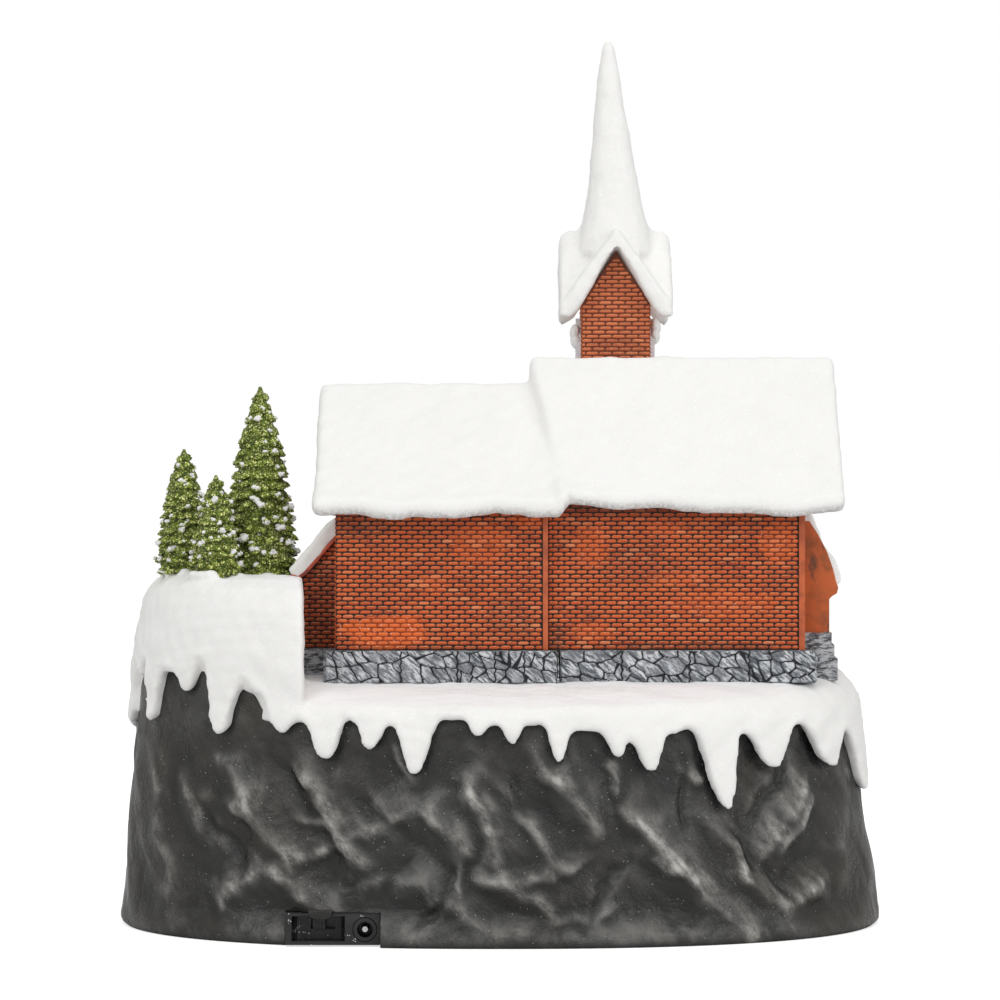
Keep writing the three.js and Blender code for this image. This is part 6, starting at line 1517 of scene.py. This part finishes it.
class CHURCH_OT_roofs(Operator):
    """Cover the roofs and the steeple with soft snow"""
    bl_idname = "church.roofs"
    bl_label = "Cover the roofs"

    def execute(self, context):
        waviness = context.scene.church_snow.waviness / MM
        names = [f"{label}_roof_{side}" for label in ("chapel", "nave") for side in ("rear", "front")]
        casts = [node_mesh(name) for name in names]
        for mesh in casts[:2]:
            points = mesh_points(mesh)
            points[:, 0] += CHAPEL_ROOF_LAP * ease(-6, 0, past_nave_edge(points))
            set_points(mesh, points)
        mesh = softened(casts, 1.1, 16, waviness, 71, 19, 0.45)
        points = mesh_points(mesh)
        x, z = points[:, 0], points[:, 2]
        rise = ease(-2.5, 1.5, past_nave_edge(points)) * (1 - ease(20, 62, x)) * (1 - ease(150, 172, z))
        points[:, 2] += NAVE_EAVE_RISE * rise
        set_points(mesh, points)
        add_attribute(mesh, "edge", eave_mask(mesh))
        show("snow_roofs", mesh, MATERIALS["eave snow"], replaces=names)
        mesh = softened([node_mesh("steeple")], 0.75, 22, waviness * 0.6, 73, 11, 0.5)
        points = mesh_points(mesh)
        side, z = np.abs(points[:, 0] - TOWER["x"]), points[:, 2].copy()
        points[:, 2] -= (1.8 * ease(250, 258, z) + 3.4 * ease(17, 24,
                                                              side) * ease(244, 256, z)) * ease(12, 15, side)
        points[:, 2] += 3.6 * (1 - ease(219, 231, z)) * ease(13, 20, side)
        rear, up = (1 - ease(15.5, 19, points[:, 1])) * (1 - ease(2, 14, side)), mesh_normals(mesh)[:, 2]
        points[:, 2] += rear * (2.4 * (1 - ease(-0.5, 0, up)) - 2.2 * ease(-0.2, 0.3, up))
        set_points(mesh, points)
        # The lower lumps of the steeple's snow get the grey edge paint: painted shade under the steeple
        add_attribute(mesh, "edge", 0.9 * (1 - ease(222, 228, points[:, 2])))
        show("snow_steeple", mesh, MATERIALS["eave snow"], replaces=("steeple",))
        for side, seed in (("left", 74), ("right", 75)):
            name = f"annex_{side}_roof"
            mesh = softened([node_mesh(name)], 0.62, 5, waviness * 0.9, seed, 9, 0.2)
            # Down-facing snow of the annex roofs gets the grey edge paint: painted shade
            add_attribute(mesh, "edge", np.clip(-mesh_normals(mesh)[:, 2], 0, 1) * 0.5)
            show(f"snow_{name}", mesh, MATERIALS["eave snow"], replaces=(name,))
        return {"FINISHED"}


def ribbon(outline, thickness):
    """A band of the given thickness under a line of (x, z) points."""
    line = np.array(outline, float)
    along = np.gradient(line, axis=0)
    along /= np.linalg.norm(along, axis=1)[:, None]
    side = np.column_stack([along[:, 1], -along[:, 0]])
    if side[:, 1].mean() > 0:
        side = -side
    lower = line + side * thickness
    return [tuple(p) for p in line] + [tuple(p) for p in lower[::-1]]


class CHURCH_OT_fascias(Operator):
    """Fit the painted boards under the edges of the annex roofs"""
    bl_idname = "church.fascias"
    bl_label = "Fit the fascias"

    def execute(self, context):
        left = slab_mesh(ribbon([(x - 0.1, z + 0.4) for x, z in LEFT_ROOF_UNDER], 1.3), "y", -32.6, 20.6, 0.3)
        right = slab_mesh(ribbon([(x, z + 0.5) for x, z in RIGHT_ROOF_UNDER[:5]], 1.5), "y", -32.6, 20.6, 0.3)
        show_parts("fascia_left", [left], "fascia")
        show_parts("fascia_right", [right], "plaster")
        over = [(x + 2.7, z + 2.2) for x, z in RIGHT_ROOF_UNDER[:5]]
        outline = [(110.45, over[0][1])] + over + [(123.7, 124.4), (123.2, 122.3), (121.4, 121.2),
                                                   (120.4, 120.2), (120.4, 107.4), (110.45, 107.4)]
        show_parts("annex_panel_right", [slab_mesh(outline, "y", -32.95, -29.9, 0.25)], "plaster")
        return {"FINISHED"}


# Fir trees

def bough(middle, turn, reach, low, width, thick, seed):
    """One short, lumpy bough that leaves the core of the tree and hangs outward."""
    rng = np.random.default_rng(seed)
    steps, sides = 6, 9
    lumps = rng.uniform(0.76, 1.24, (steps, sides))
    out, across = np.array([math.cos(turn), math.sin(turn)]), np.array([-math.sin(turn), math.cos(turn)])
    points = []
    for i in range(steps):
        s = i / (steps - 1)
        radius = reach * (0.5 + 0.5 * s)
        z = low + thick * (0.9 - 0.2 * s - 0.75 * s * s)
        fat = 0.22 if s == 1 else math.sin(math.pi * (0.24 + 0.68 * s)) ** 0.5
        for j in range(sides):
            a = 2 * math.pi * j / sides
            w = width * fat * math.cos(a) * lumps[i, j]
            h = thick * fat * math.sin(a) * lumps[i, j] * (1.0 if math.sin(a) > 0 else 0.7)
            flat = np.array(middle) + out * radius + across * w
            points.append((flat[0], flat[1], z + h))
    # How deep in the tree each ring lies, for painted shade towards the core
    depth = np.repeat(np.linspace(0.7, 0, steps), sides)
    return points, capped_faces(steps, sides), depth


def grow_fir(name, x, y, radius, foot, tip, tiers, settings, seed):
    rng = np.random.default_rng(seed)
    parts, depths, clumps = [], [], []
    spacing = settings.bough_spacing / MM
    height = tip - foot
    sides, rows = 30, 60
    core = []
    for i in range(rows):
        share = i / (rows - 1)
        for j in range(sides):
            a = 2 * math.pi * j / sides
            lump = 0.07 * math.sin(7 * a + 40 * share) + 0.05 * math.sin(13 * a - 63 * share)
            r = (radius * float(lerp_list(FIR_SHAPE, 1 - share)) * 0.76 + 0.2) * (1 + lump * (1 - share))
            core.append((x + r * math.cos(a), y + r * math.sin(a), foot - 0.6 + (height + 0.6) * share))
    parts.append((core, capped_faces(rows, sides)))
    depths.append(np.full(len(core), 0.5))
    tier_height = height / tiers
    for k in range(tiers):
        share = (k + 0.08) / (tiers + 0.45)
        reach = radius * float(lerp_list(FIR_SHAPE, 1 - share))
        count = max(5, int(2 * math.pi * reach / spacing))
        offset = rng.uniform(0, 2 * math.pi)
        for i in range(count):
            turn = offset + 2 * math.pi * i / count + rng.uniform(-0.12, 0.12)
            length = reach * rng.uniform(0.88, 1.07)
            low = foot + height * share + rng.uniform(-0.3, 0.3) * tier_height
            width = min(2.2, math.pi * reach / count * 1.25) * rng.uniform(0.85, 1.2)
            thick = tier_height * 0.4 * rng.uniform(0.8, 1.2) * min(1, 0.3 + reach / 6)
            points, bough_faces, depth = bough((x, y), turn, length, low, width, thick,
                                               int(rng.integers(1e6)))
            parts.append((points, bough_faces))
            depths.append(depth)
            if rng.random() < settings.snow_share and 0 < k < tiers - 1:
                size = rng.uniform(0.5, 1.45) * (0.6 + 0.4 * reach / 12)
                out = length * rng.uniform(0.86, 0.99)
                place = (x + out * math.cos(turn), y + out * math.sin(turn),
                         low + thick * rng.uniform(0.3, 1.0))
                for _ in range(4):
                    lump = size * rng.uniform(0.45, 0.95)
                    spot = np.array(place) + rng.uniform(-0.75, 0.75, 3) * size * (1, 1, 0.8)
                    clumps.append(blob(spot, (lump, lump, 0.8 * lump), int(rng.integers(1e6)), 0.3))
    points, faces = merged(parts)
    mesh = make_mesh(f"fir_{name}", points, faces, {"depth": np.concatenate(depths)})
    show(f"fir_{name}", mesh, MATERIALS["fir"], replaces=(name,))
    mesh = make_mesh(f"snow_on_{name}", *merged(clumps))
    show(f"snow_on_{name}", mesh, MATERIALS["snow"])


class CHURCH_OT_firs(Operator):
    """Grow the glittering fir trees with snow on their boughs"""
    bl_idname = "church.firs"
    bl_label = "Grow the firs"

    def execute(self, context):
        for n, (name, x, y, radius, foot, tip, tiers) in enumerate(FIRS):
            grow_fir(name, x, y, radius, foot, tip, tiers, context.scene.church_fir, 81 + n)
        return {"FINISHED"}


# Front of the church

def lancet_line(middle, sill, width, height, steps=9):
    """Outline of a pointed arch from its left foot over the top to its right foot."""
    half, spring, top = width / 2, sill + height - width * 0.85, sill + height
    control = top - half * 0.6
    t = np.linspace(0, 1, steps)
    rise = (1 - t) ** 2 * spring + 2 * t * (1 - t) * control + t ** 2 * top
    out = (1 - t) ** 2 * half + 2 * t * (1 - t) * half
    left = [(middle - o, z) for o, z in zip(out, rise)]
    right = [(middle + o, z) for o, z in zip(out[::-1], rise[::-1])]
    return [(middle - half, sill)] + left + right[1:] + [(middle + half, sill)]


def hood_mould(middle, sill, width, height, axis, low, high):
    """A raised band that follows the head of a pointed opening, as separate cut stones."""
    inner = lancet_line(middle, sill, width, height)
    outer = lancet_line(middle, sill - 0.6, width + 2.8, height + 2.4)
    parts = []
    for i in range(1, len(inner) - 2):
        a, b, c, d = inner[i], inner[i + 1], outer[i + 1], outer[i]
        centre = np.mean([a, b, c, d], axis=0)
        quad = [tuple(centre + (np.array(p) - centre) * 0.9) for p in (a, b, c, d)]
        parts.append(slab_mesh(quad, axis, low, high, 0.14))
    return parts


class CHURCH_OT_front(Operator):
    """Fit hood moulds, sills, door planks and hinges, and snow on sills and steps"""
    bl_idname = "church.front"
    bl_label = "Fit the front"

    def execute(self, context):
        rng = np.random.default_rng(91)
        stones, snow = [], []
        for places, face in ((CHAPEL_WINDOWS, CHAPEL["front"]), (NAVE_WINDOWS, NAVE["front"])):
            for x in places:
                stones += hood_mould(x, 110.3, 12.4, 29.4, "y", face - 0.1, face + 1.3)
                stones.append(box_mesh((x - 7.4, face - 0.1, 108.2), (x + 7.4, face + 2.5, 110.1), 0.25))
                for i in range(6):
                    snow.append(blob((x - 5.6 + i * 2.2 + rng.uniform(-0.4, 0.4), face + 1.4, 110.2),
                                     (1.7, 1.1, rng.uniform(0.8, 1.4)), int(rng.integers(1e6))))
        face = TOWER["y"] + TOWER["half"]
        stones += hood_mould(TOWER["x"], 98, 13, 25, "y", face - 0.1, face + 1.2)
        show_parts("hood_moulds", stones, "plain stone")
        for step in range(3):
            z = 88.7 + 3.1 * (step + 1)
            y = face + 0.3 + (3 - step) * 4.6 - 2.2
            for side in (-1, 1):
                for i in range(3):
                    snow.append(blob((TOWER["x"] + side * (11 - i * 2.1), y + rng.uniform(-0.5, 0.5),
                                      z + 0.1),
                                     (1.9, 1.7, rng.uniform(0.7, 1.5) * (1 - 0.2 * i)),
                                     int(rng.integers(1e6))))
        for x, z in ((29.4, 217.5), (29.0, 220.5), (58.9, 219.2), (59.2, 222.6)):
            snow.append(blob((x, 28.0, z), (2.4, 6.0, 3.4), int(rng.integers(1e6)), 0.05))
        mesh = softened([make_mesh("front_snow", *merged(snow))], 0.42, 3, 0.08, 93, 5)
        show("snow_on_sills", mesh, MATERIALS["snow"])

        leaf_front = face - 2 + 1.4
        planks, irons = [], []
        count, width = 5, 12.4
        for i in range(count):
            u0 = TOWER["x"] - width / 2 + i * width / count + 0.12
            u1 = u0 + width / count - 0.24
            heads = [plank_head(u - TOWER["x"]) for u in (u0, (u0 + u1) / 2, u1)]
            outline = [(u0, 98.5), (u1, 98.5), (u1, heads[2]), ((u0 + u1) / 2, heads[1]), (u0, heads[0])]
            planks.append(slab_mesh(outline, "y", leaf_front - 0.1, leaf_front + 0.35, 0.12))
        for z in (102.5, 113.5):
            outline = [(TOWER["x"] - 6, z - 0.45), (TOWER["x"] + 3.4, z - 0.3), (TOWER["x"] + 4.6, z),
                       (TOWER["x"] + 3.4, z + 0.3), (TOWER["x"] - 6, z + 0.45)]
            irons.append(slab_mesh(outline, "y", leaf_front + 0.3, leaf_front + 0.62, 0.08))
        irons.append(ring_mesh((TOWER["x"] + 4.2, leaf_front + 0.7, 108.6), 1.0, 0.22))
        show_parts("door_planks", planks, "door")
        show_parts("door_irons", irons, "black")
        return {"FINISHED"}


def plank_head(offset):
    """Top of a door plank at a distance from the door's middle."""
    heights = np.linspace(98.3, 122.6, 160)
    inside = [z for z in heights if lancet_half(z, 98.3, 12.4, 24.4) >= abs(offset)]
    return max(inside) - 0.3 if inside else 112.0


def ring_mesh(centre, radius, wire, sides=20, around=8):
    """A ring that hangs in the XZ plane."""
    points = []
    for i in range(sides):
        a = 2 * math.pi * i / sides
        for j in range(around):
            b = 2 * math.pi * j / around
            r = radius + wire * math.cos(b)
            points.append((centre[0] + r * math.cos(a), centre[1] + wire * math.sin(b),
                           centre[2] + r * math.sin(a)))
    return points, grid_faces(sides, around, close_rows=True)


# Finishes of the CAD nodes that stay in sight

NODE_FINISHES = {
    "mortar": ("chapel_rear_wall", "chapel_front_wall", "chapel_gable", "nave_rear_wall",
               "nave_front_wall_left", "nave_front_wall_right", "nave_gable_left", "nave_gable_right",
               "tower_shaft"),
    "plain stone": ("chapel_course_rear", "chapel_course_front", "nave_course_rear", "nave_course_front",
                    "entrance_steps"),
    "annex": ("annex_left",),
    "plaster": ("annex_right",),
    "door": ("entrance_door",),
    "trim": ("louvre_left", "louvre_right", "louvre_front", "chapel_window_1", "chapel_window_2",
             "chapel_window_3", "nave_window_1", "nave_window_2"),
    "pane": ("chapel_pane", "nave_pane"),
    "dusty black": ("power_housing",),
    "black": ("switch_knob", "dc_jack", "base_plate", "battery_box", "battery_door"),
    "dark steel": ("switch_body",),
    "steel": ("jack_pin", "base_screw_1", "base_screw_2", "base_screw_3", "base_screw_4",
              "battery_terminal_spring", "battery_link_1", "battery_link_2", "battery_terminal_button"),
    "board": ("led_board",),
    "lamp": ("led_1", "led_2"),
    "lead": ("led_lead", "power_lead"),
}


class CHURCH_OT_finishes(Operator):
    """Give every CAD node that stays in sight its own finish"""
    bl_idname = "church.finishes"
    bl_label = "Paint the CAD nodes"

    def execute(self, context):
        for finish_name, names in NODE_FINISHES.items():
            for name in names:
                NODES[name].data.materials.clear()
                NODES[name].data.materials.append(MATERIALS[finish_name])
        return {"FINISHED"}


class CHURCH_OT_paints(Operator):
    """Mix the shared effects and every finish"""
    bl_idname = "church.paints"
    bl_label = "Mix the paints"

    def execute(self, context):
        build_effects()
        build_materials(context.scene)

        def strip(tree):
            colour = tree.mottled((0.55, 0.115, 0.032), (0.28, 0.06, 0.022), 160.0, 0.7)
            return {"Base Color": colour, "Normal": tree.bump(tree.noise(1500.0, 3, 0.6), 0.00012, 0.5)}

        MATERIALS["strip"] = finish("strip paint", strip, 0.5)
        return {"FINISHED"}


# Studio

class CHURCH_OT_stage(Operator):
    """Set the camera, the floor and the soft studio light"""
    bl_idname = "church.stage"
    bl_label = "Set the stage"

    def execute(self, context):
        scene = context.scene
        settings = scene.church_stage
        camera = bpy.data.objects.new("camera", bpy.data.cameras.new("camera"))
        camera.data.lens = settings.lens
        camera.data.sensor_width = 36
        camera.data.clip_end = 60
        camera.location = (0, -settings.distance, settings.height)
        camera.rotation_euler = (math.radians(90), 0, 0)
        scene.collection.objects.link(camera)
        scene.camera = camera

        for name, power, place, size in (("key", settings.key_power, (-1.0, -1.7, 1.35), 1.3),
                                         ("fill", settings.fill_power, (1.5, -1.3, 0.7), 1.1),
                                         ("top", settings.top_power, (0.1, -0.5, 1.8), 1.2)):
            light = bpy.data.objects.new(name, bpy.data.lights.new(name, "AREA"))
            light.data.energy = power
            light.data.size = size
            light.location = place
            light.rotation_euler = (Vector((0, 0, 0.14)) - light.location).to_track_quat("-Z", "Y").to_euler()
            scene.collection.objects.link(light)

        sides, level = 96, -0.05
        angles = np.linspace(0, 2 * math.pi, sides, endpoint=False)
        rings = [np.column_stack([radius * np.cos(angles), radius * np.sin(angles), np.full(sides, level)])
                 for radius in (0.5, 400, 1500, 5000, 14000)]
        faces = grid_faces(len(rings), sides)
        faces.append(list(range(sides))[::-1])
        mesh = make_mesh("floor", np.concatenate(rings), faces)
        floor = bpy.data.objects.new("floor", mesh)
        scene.collection.objects.link(floor)
        mesh.materials.append(self.floor_paint())
        self.set_world(scene, settings.ambience)
        scene.view_settings.view_transform = "Standard"
        return {"FINISHED"}

    def seen(self, tree):
        """1 for rays from the camera and through glass."""
        path = tree.put("ShaderNodeLightPath").outputs
        return tree.math("MAXIMUM", path["Is Camera Ray"], path["Is Transmission Ray"])

    def floor_paint(self):
        material = bpy.data.materials.new("floor paint")
        material.use_nodes = True
        material.node_tree.nodes.clear()
        tree = Tree(material.node_tree)
        matt = tree.put("ShaderNodeBsdfDiffuse", {"Color": (0.8, 0.8, 0.8)}).outputs[0]
        glow = tree.put("ShaderNodeEmission", {"Color": (1, 1, 1), "Strength": 0.6}).outputs[0]
        both = tree.put("ShaderNodeAddShader", {0: matt, 1: glow}).outputs[0]
        mixed = tree.put("ShaderNodeMixShader", {0: self.seen(tree), 1: matt, 2: both}).outputs[0]
        tree.put("ShaderNodeOutputMaterial", {"Surface": mixed})
        return material

    def set_world(self, scene, ambience):
        world = bpy.data.worlds.new("studio")
        scene.world = world
        world.use_nodes = True
        world.node_tree.nodes.clear()
        tree = Tree(world.node_tree)
        dim = tree.put("ShaderNodeBackground", {"Color": (1, 1, 1), "Strength": ambience}).outputs[0]
        white = tree.put("ShaderNodeBackground", {"Color": (1, 1, 1), "Strength": 1.0}).outputs[0]
        mixed = tree.put("ShaderNodeMixShader", {0: self.seen(tree), 1: dim, 2: white}).outputs[0]
        tree.put("ShaderNodeOutputWorld", {"Surface": mixed})


STEPS = (CHURCH_OT_paints, CHURCH_OT_stage, CHURCH_OT_rock, CHURCH_OT_snow, CHURCH_OT_bricks,
         CHURCH_OT_strips, CHURCH_OT_stones, CHURCH_OT_roofs, CHURCH_OT_fascias, CHURCH_OT_firs,
         CHURCH_OT_front, CHURCH_OT_finishes)


class CHURCH_PT_steps(Panel):
    """Lists the steps that build the church and their settings"""
    bl_idname = "CHURCH_PT_steps"
    bl_label = "Christmas church"
    bl_space_type = "VIEW_3D"
    bl_region_type = "UI"
    bl_category = "Church"

    def draw(self, context):
        for step in STEPS:
            self.layout.operator(step.bl_idname)
        for name in SETTINGS:
            box = self.layout.box()
            group = getattr(context.scene, name)
            for key in group.__annotations__:
                box.prop(group, key)


def register():
    for name, group in SETTINGS.items():
        bpy.utils.register_class(group)
        setattr(bpy.types.Scene, name, PointerProperty(type=group))
    for step in STEPS:
        bpy.utils.register_class(step)
    bpy.utils.register_class(CHURCH_PT_steps)


def unregister():
    bpy.utils.unregister_class(CHURCH_PT_steps)
    for step in reversed(STEPS):
        bpy.utils.unregister_class(step)
    for name, group in reversed(SETTINGS.items()):
        delattr(bpy.types.Scene, name)
        bpy.utils.unregister_class(group)


def main():
    register()
    for step in STEPS:
        category, name = step.bl_idname.split(".")
        getattr(getattr(bpy.ops, category), name)()


if __name__ == "__main__":
    main()
